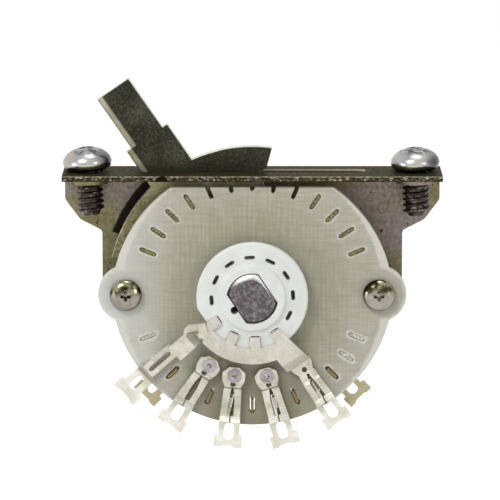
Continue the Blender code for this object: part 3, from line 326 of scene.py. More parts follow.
# %% Finish
class Finish(Masks):
    """A material for one kind of metal, board or plastic."""

    def diagonal(self, first, second):
        """The length of the diagonal over two sides at right angles."""
        return self.math("SQRT", self.plus(self.both(first, first), self.both(second, second)))

    def from_shaft(self):
        """The distance from the shaft's axis, in millimetres."""
        return self.diagonal(self.along(0), self.plus(self.along(2), SHAFT_DROP))

    def wave(self, value, pitch):
        """A sine wave that repeats every pitch millimetres along a value."""
        return self.math("SINE", self.both(value, 2 * math.pi / pitch))

    def ramp(self, value, stops):
        """Colours along a value from 0 to 1."""
        ramp = self.nodes.new("ShaderNodeValToRGB")
        points = ramp.color_ramp.elements
        while len(points) < len(stops):
            points.new(0.5)
        for point, (position, colour) in zip(points, stops):
            point.position = position
            point.color = colour
        self.links.new(value, ramp.inputs["Fac"])
        return ramp.outputs["Color"]

    def mix(self, share, first, second):
        """Mixes two colours by a share from 0 to 1."""
        step = self.nodes.new("ShaderNodeMix")
        step.data_type = "RGBA"
        # Sockets 6 and 7 are the two colours, and output 2 is the mixed one.
        for socket, value in ((0, share), (6, first), (7, second)):
            if isinstance(value, (int, float, tuple)):
                step.inputs[socket].default_value = value
            else:
                self.links.new(value, step.inputs[socket])
        return step.outputs[2]

    def colour(self, value):
        self.links.new(value, self.shader.inputs["Base Color"])

    def rough(self, value):
        self.links.new(value, self.shader.inputs["Roughness"])

    def bump(self, height, depth):
        """Raises the surface by depth millimetres where height is 1."""
        step = self.nodes.new("ShaderNodeBump")
        step.inputs["Strength"].default_value = 1.0
        step.inputs["Distance"].default_value = depth * MM
        self.links.new(height, step.inputs["Height"])
        self.links.new(step.outputs[0], self.shader.inputs["Normal"])


print("finish ready, with the shaft", SHAFT_DROP, "mm below the plate")

# %% [markdown]
# ### Zinc with a yellow passivate
#
# The bracket is zinc plated and dipped, which leaves thin films that drift
# from olive gold to mauve over a few millimetres. Thin-film optics could give
# such colours, but they change with the angle of view and are hard to steer.
# A wide noise picks between two pairs of colours instead, and a fine one
# mottles them. The plate's top gets a painted dark reflection of the room
# above it, and a tinted specular keeps it dark where it is seen at a low angle.

# %% Bracket films
zinc = Finish("zinc_with_yellow_passivate", 0.85, 0.4)
zinc.shader.inputs["Specular Tint"].default_value = tint(150, 146, 118)
olive = [(0.36, tint(118, 114, 82)), (0.46, tint(132, 126, 98))]
mauve = [(0.54, tint(138, 126, 118)), (0.64, tint(132, 122, 124))]
height = zinc.along(2)
yellowing = zinc.span(height, -18.0, -8.0, 0.14, 0.0)
film = zinc.ramp(zinc.minus(zinc.noise(0.085, 2.5), yellowing), olive + mauve)
grain = zinc.noise(2.0, 6)
mottled = zinc.span(grain, 0.38, 0.62, 0.0, 0.55)
film = zinc.mix(mottled, film, tint(98, 92, 66))
spotted = zinc.span(zinc.noise(1.1, 1), 0.7, 0.74, 0.0, 0.8)
film = zinc.mix(spotted, film, tint(40, 34, 18))
# Painted dark reflection on faces that look up, such as the plate's top.
upward = zinc.span(zinc.facing(2), 0.5, 0.9, 0.0, 1.0)
painted_dark_reflection_on_top = zinc.ramp(grain, [(0.35, tint(90, 87, 68)), (0.6, tint(68, 64, 48))])
film = zinc.mix(upward, film, painted_dark_reflection_on_top)
print("film colours:", len(zinc.nodes), "nodes")

# %% [markdown]
# The sheared edges are bare torn steel. The punch leaves torn grains and a dark
# break at the foot, and a painted highlight runs along the rolled top of the edge.
# The grains are wider than they are high, so the noise is stretched along the
# plate. The far wall of the lever's slot gets a painted highlight along its top and black painted
# shade below.

# %% Bracket edges
PLATE_FRONT = -4.4
ROLLED_TO = -0.14
TORN_TO = -0.58
SLOT_REACH = 1.6
SLOT_LIP = -0.24
SLOT_FOOT = -0.72

towards = zinc.below(zinc.facing(1), -0.6)
tear = zinc.noise(3.0, 5, (0.8, 1.0, 2.0))
grains = [(0.42, tint(34, 28, 16)), (0.57, tint(76, 71, 52)), (0.66, tint(168, 162, 142))]
torn = zinc.ramp(tear, grains)
# Painted highlight along the rolled top of the sheared edge.
rolled = zinc.both(zinc.above(height, ROLLED_TO), zinc.span(tear, 0.4, 0.58, 0.25, 0.9))
torn = zinc.mix(rolled, torn, tint(150, 146, 126))
torn = zinc.mix(zinc.below(height, TORN_TO), torn, tint(48, 43, 28))
edge = zinc.both(towards, zinc.below(zinc.along(1), PLATE_FRONT))
film = zinc.mix(edge, film, torn)
in_slot = zinc.below(zinc.size(zinc.along(1)), SLOT_REACH)
# Painted highlight on the top of the slot's far wall, and black painted shade below it.
slot_wall = zinc.both(towards, in_slot, zinc.above(height, SLOT_FOOT))
painted_lip_highlight_and_shade = zinc.mix(zinc.above(height, SLOT_LIP), tint(26, 20, 10), tint(176, 168, 148))
film = zinc.mix(slot_wall, film, painted_lip_highlight_and_shade)
print("bracket edges:", len(zinc.nodes), "nodes")

# %% [markdown]
# Beside the lever's fan a black crescent of painted shade lies on the web: a
# band of a ring about the shaft, cut off at two angles. The roughness and a
# shallow bump finish the bracket.

# %% Crescent and surface of the bracket
SHADE_CRESCENT_RADIUS = 18.4
SHADE_CRESCENT_START = 126 * DEGREE
SHADE_CRESCENT_END = 160 * DEGREE

angle = zinc.math("ARCTAN2", zinc.plus(height, SHAFT_DROP), zinc.along(0))
between = zinc.both(zinc.above(angle, SHADE_CRESCENT_START), zinc.below(angle, SHADE_CRESCENT_END))
off_shade_crescent = zinc.size(zinc.minus(zinc.from_shaft(), SHADE_CRESCENT_RADIUS))
# A black crescent of painted shade on the web beside the fan.
painted_shade_crescent = zinc.both(towards, between, zinc.span(off_shade_crescent, 0.45, 0.7, 0.95, 0.0))
zinc.colour(zinc.mix(painted_shade_crescent, film, tint(16, 11, 4)))
zinc.rough(zinc.span(grain, 0.3, 0.7, 0.34, 0.52))
zinc.bump(zinc.plus(zinc.both(tear, edge), zinc.both(grain, 0.12)), 0.1)
print("bracket finish:", len(zinc.nodes), "nodes")

# %% [markdown]
# ### Nickel on the lever
#
# The lever's nickel is dull and dark, with cloudy olive patches and fine pits
# from tumbling. Three noises of different grain make them, each mixed over
# the one before. Near the plate the face gets a browner painted shade.

# %% Lever face
nickel = Finish("dark_nickel", 0.8, 0.42)
cloud = nickel.noise(0.28, 4)
pit = nickel.noise(2.6, 6)
fleck = nickel.noise(4.0, 3)
height = nickel.along(2)
duns = [(0.36, tint(36, 36, 25)), (0.52, tint(50, 51, 40)), (0.66, tint(68, 68, 56))]
tone = nickel.ramp(cloud, duns)
tone = nickel.mix(nickel.span(pit, 0.42, 0.6, 0.0, 0.6), tone, tint(30, 27, 14))
tone = nickel.mix(nickel.span(fleck, 0.5, 0.68, 0.0, 0.26), tone, tint(112, 111, 94))
# Painted shade: the face is browner and darker close to the plate.
painted_shade_near_plate = nickel.span(height, 0.2, 2.4, 0.3, 0.0)
tone = nickel.mix(painted_shade_near_plate, tone, tint(52, 47, 28))
print("lever face:", len(nickel.nodes), "nodes")

# %% [markdown]
# The part that stays below the plate lies in shade and gets painted light
# in a pale golden tone: the disc about the shaft, the flank left of the handle,
# and most of all a strip just under the plate. The coordinates are turned
# upright along the leaning handle, so that a flank or a band can follow it.

# %% Lever below the plate
TIP_EDGE = -2.37
SHOULDER_EDGE = -3.1
SHOULDER = 23.35
DISC_RADIUS = 14.7

shift = (SHAFT_DROP * math.sin(LEAN), 0, SHAFT_DROP * math.cos(LEAN))
along_handle = nickel.mapped(turn=(0, LEAN, 0), shift=shift)
across = nickel.split(along_handle, 0)
reach = nickel.split(along_handle, 2)
flank = nickel.span(across, SHOULDER_EDGE - 0.5, SHOULDER_EDGE - 0.2, 1.0, 0.0)
disc = nickel.span(nickel.from_shaft(), DISC_RADIUS, DISC_RADIUS + 0.3, 1.0, 0.0)
# Painted light: a pale golden tone where the lever lies in the plate's shade.
painted_light_golden = nickel.ramp(pit, [(0.4, tint(140, 134, 100)), (0.6, tint(108, 102, 70))])
tone = nickel.mix(nickel.either(flank, disc), tone, painted_light_golden)
# The strip just under the plate gets the brightest painted light.
strip_top = nickel.span(height, -1.1, -0.8, 1.0, 0.0)
strip_foot = nickel.span(height, -3.9, -2.9, 0.0, 1.0)
tone = nickel.mix(nickel.both(strip_top, strip_foot), tone, tint(150, 144, 108))
print("lever below the plate:", len(nickel.nodes), "nodes")

# %% [markdown]
# The sheared walls are bright. Along the lower edge of the handle the press
# rolled the face over into a pale band, with a dark line on its brink.

# %% Lever edges
BAND_FOOT = 19.0
BAND_WIDTH = 0.62
BRINK_WIDTH = 0.13

handle_edge = nickel.span(nickel.above(reach, SHOULDER), 0, 1, SHOULDER_EDGE, TIP_EDGE)
inset = nickel.minus(across, handle_edge)
on_handle = nickel.both(nickel.above(reach, BAND_FOOT), nickel.below(nickel.facing(1), 0))
band = nickel.both(nickel.span(inset, BAND_WIDTH, BAND_WIDTH + 0.23, 1.0, 0.0), on_handle)
pale = nickel.ramp(cloud, [(0.35, tint(132, 129, 104)), (0.6, tint(162, 159, 140))])
tone = nickel.mix(band, tone, pale)
brink = nickel.both(nickel.below(inset, BRINK_WIDTH), on_handle)
tone = nickel.mix(brink, tone, tint(70, 66, 58))
walls = nickel.span(nickel.size(nickel.facing(1)), 0.72, 0.82, 1.0, 0.0)
nickel.colour(nickel.mix(walls, tone, tint(218, 215, 198)))
nickel.rough(nickel.span(pit, 0.3, 0.7, 0.34, 0.54))
nickel.bump(nickel.plus(pit, fleck), 0.012)
print("lever finish:", len(nickel.nodes), "nodes")

# %% [markdown]
# ### Turned steel, bright plating and brass
#
# The shaft's end face still shows the lathe in rings about its centre, and its
# chamfer gets a painted highlight where it faces up. A sine wave along the
# distance from the axis draws the rings. The bush has them too, in brass.

# %% Turned steel and brass
STEEL_RINGS = 0.24
BRASS_RINGS = 0.3

turned_steel = Finish("turned_steel", 0.9, 0.36)
rings = turned_steel.wave(turned_steel.from_shaft(), STEEL_RINGS)
greys = [(0.35, tint(78, 72, 76)), (0.52, tint(96, 91, 93)), (0.68, tint(126, 122, 122))]
face_tone = turned_steel.ramp(turned_steel.noise(2.2, 5), greys)
grooves = turned_steel.span(rings, 0.3, 1.0, 0.0, 0.25)
face_tone = turned_steel.mix(grooves, face_tone, tint(70, 64, 66))
# A painted highlight on the part of the chamfer that faces up.
painted_chamfer_highlight = turned_steel.span(turned_steel.facing(2), 0.2, 0.45, 0.0, 1.0)
turned_steel.colour(turned_steel.mix(painted_chamfer_highlight, face_tone, tint(228, 228, 226)))
turned_steel.bump(rings, 0.004)

brass = Finish("turned_brass", 1.0, 0.3)
golds = [(0.35, tint(168, 138, 70)), (0.65, tint(200, 176, 108))]
brass.colour(brass.ramp(brass.noise(0.9, 4), golds))
brass.bump(brass.wave(brass.from_shaft(), BRASS_RINGS), 0.003)
print("turned finishes ready")

# %% [markdown]
# The mounting screws are bright and nearly smooth. Their heads have painted dark
# reflections where they face right, round the foot, and in patches on the crown
# about the cross slot. Heights are above the plate's top face. The index balls
# take the same finish, and the painted dark reflection of the foot covers them
# all over because they lie lower than any head.

# %% Bright plating
FOOT_TOP = 0.5
CROWN_FOOT = 2.2

bright = Finish("bright_plating", 1.0, 0.16)
smear = bright.noise(0.45, 3)
greys = [(0.38, tint(138, 138, 146)), (0.5, tint(164, 164, 167)), (0.62, tint(178, 176, 164))]
plating = bright.ramp(smear, greys)
# Painted dark reflection where the heads face right.
painted_dark_reflection_right = bright.span(bright.facing(0), 0.3, 0.75, 0.0, 0.8)
plating = bright.mix(painted_dark_reflection_right, plating, tint(58, 52, 46))
height = bright.along(2)
# Painted dark reflection round the foot of each head, and over the lower index balls.
foot = bright.span(height, FOOT_TOP, FOOT_TOP + 0.4, 0.85, 0.0)
plating = bright.mix(foot, plating, tint(48, 43, 36))
# Painted dark reflections in patches on the crown.
patches = bright.span(bright.noise(1.6, 2), 0.45, 0.55, 0.0, 1.0)
painted_dark_reflection_crown = bright.both(bright.span(height, CROWN_FOOT, CROWN_FOOT + 0.4, 0.0, 0.8), patches)
bright.colour(bright.mix(painted_dark_reflection_crown, plating, tint(62, 56, 50)))
bright.rough(bright.span(smear, 0.3, 0.7, 0.18, 0.3))
bright.bump(bright.noise(0.6, 2), 0.04)
print("bright plating:", len(bright.nodes), "nodes")

# %% [markdown]
# The small screws have painted reflections: grey-beige where they face down and
# dark olive where they face up. The threads are painted dark, a painted
# reflection of the dark plate and web. The sleeves, nuts, clip and index arm are
# plain steel.

# %% Plating with painted reflections, dark threads and plain steel
reflection_painted_plating = Finish("stained_plating", 1.0, 0.2)
turned_up = reflection_painted_plating.facing(2)
brown = reflection_painted_plating.noise(0.8, 4)
lower = reflection_painted_plating.ramp(brown, [(0.4, tint(132, 126, 116)), (0.6, tint(152, 147, 138))])
dark_reflection_tones = [(0.42, tint(38, 33, 20)), (0.52, tint(92, 88, 64)), (0.6, tint(152, 150, 124))]
upper = reflection_painted_plating.ramp(brown, dark_reflection_tones)
# Painted reflections: grey-beige below, dark olive where the heads face up.
reflection_painted_plating.colour(reflection_painted_plating.mix(reflection_painted_plating.span(turned_up, -0.02, 0.16, 0.0, 1.0), lower, upper))
reflection_painted_plating.rough(reflection_painted_plating.span(turned_up, -0.1, 0.3, 0.34, 0.14))

# Threads are painted dark, a painted reflection of the dark plate and web above them.
thread_with_painted_dark_reflection = Finish("dark_thread", 0.85, 0.32)
thread_mottle = thread_with_painted_dark_reflection.noise(1.6, 4)
browns = [(0.36, tint(44, 38, 33)), (0.56, tint(68, 61, 54)), (0.66, tint(120, 114, 104))]
thread_with_painted_dark_reflection.colour(thread_with_painted_dark_reflection.ramp(thread_mottle, browns))
thread_with_painted_dark_reflection.rough(thread_with_painted_dark_reflection.span(thread_mottle, 0.3, 0.7, 0.22, 0.42))

plain_steel = Finish("plain_steel", 0.95, 0.34)
patch = plain_steel.noise(0.8, 5)
plain_greys = [(0.35, tint(122, 116, 112)), (0.65, tint(158, 154, 148))]
plain_steel.colour(plain_steel.ramp(patch, plain_greys))
plain_steel.rough(plain_steel.span(patch, 0.3, 0.7, 0.26, 0.44))
print("screw finishes ready")

# %% [markdown]
# ### Glass epoxy
#
# The board is woven glass in a clear olive resin, green in the middle and
# paler towards its rim. The weave is a faint square grid about half a
# millimetre apart, and the resin hides it in places. Two waves at right
# angles make it, dimmed by a cloudy noise, with streaks along both threads.

# %% Wafer weave
WEAVE_PITCH = 0.52

epoxy = Finish("glass_epoxy", 0.0, 0.5)
side_way = epoxy.along(0)
off_middle = epoxy.size(side_way)
rise = epoxy.plus(epoxy.along(2), SHAFT_DROP)
radius = epoxy.diagonal(side_way, rise)
warp = epoxy.wave(side_way, WEAVE_PITCH)
weft = epoxy.wave(rise, WEAVE_PITCH)
threads = epoxy.span(epoxy.plus(warp, epoxy.both(weft, 0.6)), -1.6, 1.6, 0, 1)
threads = epoxy.both(threads, epoxy.span(epoxy.noise(0.3, 2), 0.4, 0.65, 0.25, 1.0))
upright = epoxy.noise(1.5, 4, (1.6, 1.0, 0.22))
level = epoxy.noise(1.5, 4, (0.22, 1.0, 1.6))
paler_outward = epoxy.span(radius, 9.5, 15.5, 0.0, 1.0)
resin = epoxy.mix(paler_outward, tint(144, 142, 120), tint(164, 161, 147))
resin = epoxy.mix(epoxy.span(upright, 0.42, 0.65, 0.0, 0.4), resin, tint(172, 170, 152))
resin = epoxy.mix(epoxy.span(level, 0.42, 0.65, 0.0, 0.35), resin, tint(128, 126, 102))
resin = epoxy.mix(epoxy.both(threads, 0.18), resin, tint(194, 192, 174))
print("resin and threads:", len(epoxy.nodes), "nodes")

# %% [markdown]
# The foot of the board, between the lugs, is darker and more olive. The left
# side is the palest, in cloudy patches.

# %% Darker foot and paler side
foot = epoxy.span(rise, -12.5, -8.0, 1.0, 0.0)
foot = epoxy.both(foot, epoxy.span(off_middle, 5.0, 10.0, 0.75, 0.0))
resin = epoxy.mix(foot, resin, tint(112, 108, 82))
paler_left_side = epoxy.span(side_way, -18.5, -9.5, 0.85, 0.0)
paler_left_side = epoxy.both(paler_left_side, epoxy.span(epoxy.noise(0.25, 3), 0.35, 0.6, 0.6, 1.0))
resin = epoxy.mix(paler_left_side, resin, tint(200, 201, 200))
print("uneven resin:", len(epoxy.nodes), "nodes")

# %% [markdown]
# Punching bruises the board, and a white halo of loosened glass surrounds
# every slot. All slots point at the shaft and are evenly spaced, so one halo
# worked out in polar coordinates serves them all: what is left of the angle
# after whole steps tells how far away the nearest slot is. Many whole steps
# are added first to keep the angle positive, and half a step more, because
# the pattern has a slot on the horizontal.

# %% Wafer slot halos
SLOT_RING = 14.15
SLOT_HALF_LENGTH = 0.85
SLOT_STEP = 11.25 * DEGREE
STEPS_AHEAD = 64
BARE_HEIGHT = 4.2

angle = epoxy.math("ARCTAN2", rise, side_way)


def beside_spoke(step, ahead):
    """The distance along a circle from the nearest of the spokes a step apart."""
    steps = epoxy.plus(epoxy.math("DIVIDE", angle, step), ahead)
    return epoxy.both(epoxy.minus(epoxy.math("FRACT", steps), 0.5), radius, step)


off_ring = epoxy.size(epoxy.minus(radius, SLOT_RING))
beyond = epoxy.math("MAXIMUM", epoxy.minus(off_ring, SLOT_HALF_LENGTH), 0.0)
beside = beside_spoke(SLOT_STEP, STEPS_AHEAD + 0.5)
ragged = epoxy.span(epoxy.noise(1.8, 3), 0.3, 0.7, -0.14, 0.14)
gap = epoxy.plus(epoxy.diagonal(beside, beyond), ragged)
slotted = epoxy.above(epoxy.size(rise), BARE_HEIGHT)
spared = epoxy.span(off_middle, 7.5, 10.0, 0.1, 1.0)
bruise = epoxy.both(epoxy.span(rise, -6.0, 2.0, 0.8, 0.45), spared)
slot_halo = epoxy.both(epoxy.span(gap, 0.34, 0.66, 1.0, 0.0), slotted, bruise)
print("slot halos:", len(epoxy.nodes), "nodes")

# %% [markdown]
# In the lower half a clip is clinched through every other slot, and the board
# in the long opening of each clip gets painted shade. The same formula finds
# those places with a step twice as long, and with no half step, since the clips
# lie on the odd slots.

# %% Painted shade in the clips' openings
CLIP_STEP = 2 * SLOT_STEP
OPENING_HALF_WIDTH = 0.42
OPENING_HEAD = 11.9
OPENING_FOOT = 17.2
FIRST_CLIP = -135 * DEGREE
LAST_CLIP = -50 * DEGREE

aside = epoxy.size(beside_spoke(CLIP_STEP, STEPS_AHEAD))
narrow = epoxy.span(aside, OPENING_HALF_WIDTH, OPENING_HALF_WIDTH + 0.12, 1.0, 0.0)
in_length = epoxy.both(epoxy.above(radius, OPENING_HEAD), epoxy.below(radius, OPENING_FOOT))
in_fan = epoxy.both(epoxy.above(angle, FIRST_CLIP), epoxy.below(angle, LAST_CLIP))
uneven = epoxy.span(epoxy.noise(1.4, 3), 0.35, 0.6, 0.6, 0.95)
# Painted shade on the board inside each clip's opening.
painted_shade_in_openings = epoxy.both(narrow, in_length, in_fan, uneven)
print("dirt:", len(epoxy.nodes), "nodes")

# %% [markdown]
# The same bruise follows the rim. The outline is two arcs of 17.7 mm whose
# centres lie 1 mm past the shaft, and two round ears. The distance from the
# rim is the larger of the depths inside the arcs and inside the ears.

# %% Wafer rim and colour
ARC_RADIUS = 17.7
ARC_OFFSET = 1.0
EAR_CENTRE = 15.85
EAR_RADIUS = 3.5

from_arc_centre = epoxy.diagonal(epoxy.plus(off_middle, ARC_OFFSET), rise)
from_ear_centre = epoxy.diagonal(epoxy.minus(off_middle, EAR_CENTRE), rise)
in_arc = epoxy.minus(ARC_RADIUS, from_arc_centre)
in_ear = epoxy.minus(EAR_RADIUS, from_ear_centre)
depth_in = epoxy.plus(epoxy.math("MAXIMUM", in_arc, in_ear), ragged)
rim_halo = epoxy.span(depth_in, 0.12, 0.5, 0.7, 0.0)
resin = epoxy.mix(epoxy.either(slot_halo, rim_halo), resin, tint(204, 203, 192))
# The painted shade in the clips' openings is dark olive.
resin = epoxy.mix(painted_shade_in_openings, resin, tint(66, 60, 34))
cut = epoxy.below(epoxy.size(epoxy.facing(1)), 0.7)
epoxy.colour(epoxy.mix(cut, resin, tint(214, 213, 198)))
epoxy.bump(epoxy.plus(threads, epoxy.both(upright, 0.8)), 0.014)
print("wafer finish:", len(epoxy.nodes), "nodes")

# %% [markdown]
# ### Nylon
#
# The rotor is moulded in white nylon, which lets a little light in. A small
# amount of subsurface scattering softens its edges, and a faint noise in the
# roughness keeps the flange from looking like paint.

# %% Rotor finish
nylon = Finish("white_nylon", 0.0, 0.42)
nylon.shader.inputs["Subsurface Weight"].default_value = 0.15
nylon.shader.inputs["Subsurface Radius"].default_value = (0.6 * MM, 0.6 * MM, 0.5 * MM)
nylon.shader.inputs["Subsurface Scale"].default_value = 1.0
flow = nylon.noise(0.4, 3)
nylon.colour(nylon.ramp(flow, [(0.35, tint(206, 208, 203)), (0.65, tint(216, 218, 214))]))
nylon.rough(nylon.span(flow, 0.3, 0.7, 0.36, 0.5))
nylon.bump(nylon.noise(2.0, 3), 0.006)
print("rotor finish:", len(nylon.nodes), "nodes")

# %% [markdown]
# ### Silvered and tinned strip
#
# The contact clips are brass strip with a warm silver plate. Stamping and
# folding leave them slightly uneven, so a fine noise bends the reflections.
# Folds that face up get a painted highlight, and cut walls get painted shade,
# which draws dark outlines. Past the board's rim the lugs are paler. The clips
# behind the board are tinned and more yellow. What passes through the board is
# dark, and a function for each pole finds it from the place along Y.

# %% Plated strip
LUG_START = 16.9


def strip_finish(name, tones, lug, fold_highlight, through_board):
    """Plated spring strip with painted highlights on upward folds, painted shade on the walls, and
    pale lugs.
    """
    finish = Finish(name, 0.85, 0.3)
    tarnish = finish.noise(0.5, 4)
    speck = finish.noise(2.6, 5)
    colour = finish.ramp(tarnish, [(0.36, tones[0]), (0.64, tones[1])])
    colour = finish.mix(finish.span(speck, 0.5, 0.7, 0.0, 0.3), colour, tint(128, 122, 100))
    on_lug = finish.span(finish.from_shaft(), LUG_START, LUG_START + 0.7, 0.0, 0.6)
    on_lug = finish.both(on_lug, finish.span(tarnish, 0.35, 0.6, 0.6, 1.0))
    colour = finish.mix(on_lug, colour, lug)
    # Painted shade on the cut walls, for dark outlines.
    walls = finish.span(finish.size(finish.facing(1)), 0.4, 0.85, 0.85, 0.0)
    colour = finish.mix(walls, colour, tint(88, 82, 60))
    # Painted highlight on folds that face up.
    painted_fold_highlight = finish.span(finish.facing(2), 0.3, 0.6, 0.0, 1.0)
    colour = finish.mix(painted_fold_highlight, colour, fold_highlight)
    colour = finish.mix(through_board(finish), colour, tint(112, 98, 56))
    finish.colour(colour)
    finish.rough(finish.span(tarnish, 0.3, 0.7, 0.24, 0.42))
    finish.bump(finish.plus(finish.noise(0.9, 3), finish.both(speck, 0.3)), 0.035)
    return finish


print("lugs start", LUG_START, "mm from the shaft")

# %% [markdown]
# A clip on the front goes in through the board's front face, and one on the
# back comes out there, so the two poles need different masks. The moving
# blades are rubbed to one silver tone and have no lug.

# %% Silver and tin
BOARD_FRONT = -4.7
BOARD_BACK = -3.1


def from_front(finish):
    """A mask of what lies between the board's two faces."""
    place = finish.along(1)
    entered = finish.span(place, BOARD_FRONT - 0.05, BOARD_FRONT + 0.05, 0.0, 0.8)
    return finish.both(entered, finish.below(place, BOARD_BACK))


def from_back(finish):
    """A mask of what lies inside the board or has come out in front of it."""
    return finish.span(finish.along(1), BOARD_BACK - 0.1, BOARD_BACK + 0.1, 0.9, 0.0)


cream = tint(246, 245, 236)
clip_tones = (tint(172, 168, 150), tint(202, 199, 187))
blade_tones = (tint(176, 173, 160), tint(196, 193, 182))
tin_tones = (tint(150, 142, 112), tint(176, 170, 142))
silver = strip_finish("silvered_strip", clip_tones, tint(226, 224, 214), cream, from_front)
blade_silver = strip_finish("worn_silver", blade_tones, cream, cream, from_front)
tin_lug = tint(166, 158, 128)
tin_fold_highlight = tint(206, 200, 172)
tinned = strip_finish("tinned_strip", tin_tones, tin_lug, tin_fold_highlight, from_back)
print("strip finishes:", silver.material.name, blade_silver.material.name, tinned.material.name)

# %% [markdown]
# The coined bowls in the pads are rubbed by the lobe to a cooler, greyer tone
# than the strip around them, which makes them stand out.

# %% Coined bowls
dimple = Finish("worn_dimple", 0.85, 0.3)
scuff = dimple.noise(1.1, 4)
dimple.colour(dimple.ramp(scuff, [(0.38, tint(134, 128, 130)), (0.62, tint(166, 161, 160))]))
dimple.rough(dimple.span(scuff, 0.3, 0.7, 0.22, 0.4))
print("bowl finish:", len(dimple.nodes), "nodes")

# %% [markdown]
# ## From CAD solids to worked pieces
#
# A CAD solid has knife-sharp edges. Stamped and moulded edges are rolled, and
# it is their thin highlights that make metal look real. Modelling each piece
# again would risk a new shape, so each solid is copied, its loose triangles
# are merged back into whole faces, and a small bevel rounds every corner.

# %% Copy and round
MERGE = 0.0005 * MM


def worked_copy(node):
    """The node's solid as one clean mesh of whole faces."""
    bm = bmesh.new()
    bm.from_mesh(frame["nodes"][node].data)
    bmesh.ops.remove_doubles(bm, verts=bm.verts, dist=MERGE)
    bmesh.ops.dissolve_limit(bm, angle_limit=0.6 * DEGREE, verts=bm.verts, edges=bm.edges)
    bmesh.ops.recalc_face_normals(bm, faces=bm.faces)
    return bm


def corners(bm, angle=35):
    """The edges where two faces meet at more than an angle in degrees."""
    return [e for e in bm.edges if len(e.link_faces) == 2 and e.calc_face_angle() > angle * DEGREE]


def roll_edges(bm, edges, radius):
    """Rounds edges to a radius in millimetres."""
    bmesh.ops.bevel(
        bm,
        geom=edges,
        offset=radius * MM,
        offset_type="OFFSET",
        affect="EDGES",
        segments=2,
        profile=0.5,
        clamp_overlap=True,
        material=-1,
    )


print("solids are merged within", MERGE / MM, "mm")

# %% [markdown]
# The copy then takes the solid's place. It rides on the same body, so it
# follows the lever or stays with the bracket. Weighted normals keep the flat
# faces flat in shading and leave all of the rounding to the bevels.

# %% Place a piece
FIXED = "switch_frame"
TURNING = "lever_and_rotor"


def put(name, bm, body, slot, finish, *nodes):
    """Makes a bmesh a piece that rides on a body and stands for CAD nodes."""
    mesh = bpy.data.meshes.new(name)
    bm.to_mesh(mesh)
    bm.free()
    mesh.materials.append(finish.material)
    mesh.shade_smooth()
    piece = bpy.data.objects.new(name, mesh)
    scene.collection.objects.link(piece)
    even = piece.modifiers.new("even_shading", "WEIGHTED_NORMAL")
    even.keep_sharp = True
    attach(piece, body)
    if nodes:
        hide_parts(*nodes)
    return piece


def refine(node, radius, finish, slot, body=FIXED):
    """Replaces a node by a copy with rolled edges."""
    bm = worked_copy(node)
    roll_edges(bm, corners(bm), radius)
    put(node + "_worked", bm, body, slot, finish, node)


print("bodies:", FIXED, "and", TURNING)

# %% [markdown]
# ## Bracket and wafer
#
# The bracket is blanked from sheet and folded, and its edges are rolled by
# about a tenth of the sheet's thickness. The wafer is punched, with crisper
# edges and slots. Their shapes come whole from the CAD model.

# %% Bracket and wafer
refine("bracket", 0.07, zinc, "zinc_plated_steel")
refine("wafer", 0.05, epoxy, "glass_epoxy_board")
print("bracket and wafer refined")

# %% [markdown]
# The punch leaves a mat of torn glass fibres in the slots that hold no clip.
# A small recessed plate in each of them stands for it, painted with light and
# shade: olive, as in shade, in the upper slots, and pale, as sunlit, in the lower ones.

# %% Torn fibres in the free slots
FIBRE_SIZE = (2.0, 0.4, 0.5)
FIBRE_PLACE = BOARD_FRONT + 0.45
FREE_STEPS = (2, 3, 4, 5, 11, 12, 13, 14, 18, 29, 30)

fibre = Finish("torn_glass_fibres", 0.0, 0.7)
strand = fibre.noise(3.0, 4)
shadowed = fibre.ramp(strand, [(0.38, tint(92, 92, 52)), (0.6, tint(136, 136, 92))])
sunlit = fibre.ramp(strand, [(0.38, tint(172, 172, 166)), (0.6, tint(214, 213, 205))])
# Painted shade in the upper slots and painted light in the lower ones.
fibre.colour(fibre.mix(fibre.above(fibre.along(2), -SHAFT_DROP), sunlit, shadowed))
fibre.bump(strand, 0.15)

bm = bmesh.new()
for step in FREE_STEPS:
    made = bmesh.ops.create_cube(bm, size=MM)["verts"]
    bmesh.ops.scale(bm, verts=made, vec=FIBRE_SIZE)
    bmesh.ops.translate(bm, verts=made, vec=(SLOT_RING * MM, FIBRE_PLACE * MM, 0))
    turn = Matrix.Rotation(-step * SLOT_STEP, 3, "Y")
    bmesh.ops.rotate(bm, verts=made, cent=(0, 0, 0), matrix=turn)
    bmesh.ops.translate(bm, verts=made, vec=SHAFT)
put("torn_fibres", bm, FIXED, "glass_epoxy_board", fibre)
print("slots with fibres:", len(FREE_STEPS))

# %% [markdown]
# ## Lever
#
# The blanking press rolls the metal over along the lower edge of the handle.
# Two cuts parallel to that edge give the face new rows of corners, and the
# rows are then pushed back from the camera, the outermost one the furthest.

# %% Lever
DIE_ROLL = 0.75
DIE_DEPTH = 0.3
SLIGHT = 0.01

bm = worked_copy("lever")
upright_lever = Matrix.Translation(SHAFT) @ Matrix.Rotation(-LEAN, 4, "Y")
for inset in (DIE_ROLL, DIE_ROLL / 2):
    bmesh.ops.bisect_plane(
        bm,
        geom=bm.verts[:] + bm.edges[:] + bm.faces[:],
        dist=MERGE,
        plane_co=upright_lever @ Vector(((TIP_EDGE + inset) * MM, 0, 0)),
        plane_no=upright_lever.to_3x3() @ Vector((1, 0, 0)),
    )
pushed = 0
for vert in bm.verts:
    local = upright_lever.inverted() @ vert.co
    inset = local.x / MM - TIP_EDGE
    on_blade = local.z > (SHOULDER - 5 * SLIGHT) * MM and local.y < 0
    if on_blade and inset < DIE_ROLL - SLIGHT:
        share = 1 - max(inset, 0) / DIE_ROLL
        vert.co.y += DIE_DEPTH * share * share * MM
        pushed += 1
roll_edges(bm, corners(bm, 45), 0.13)
put("lever_worked", bm, TURNING, "nickel_plated_steel", nickel, "lever")
print("corners pushed back:", pushed)

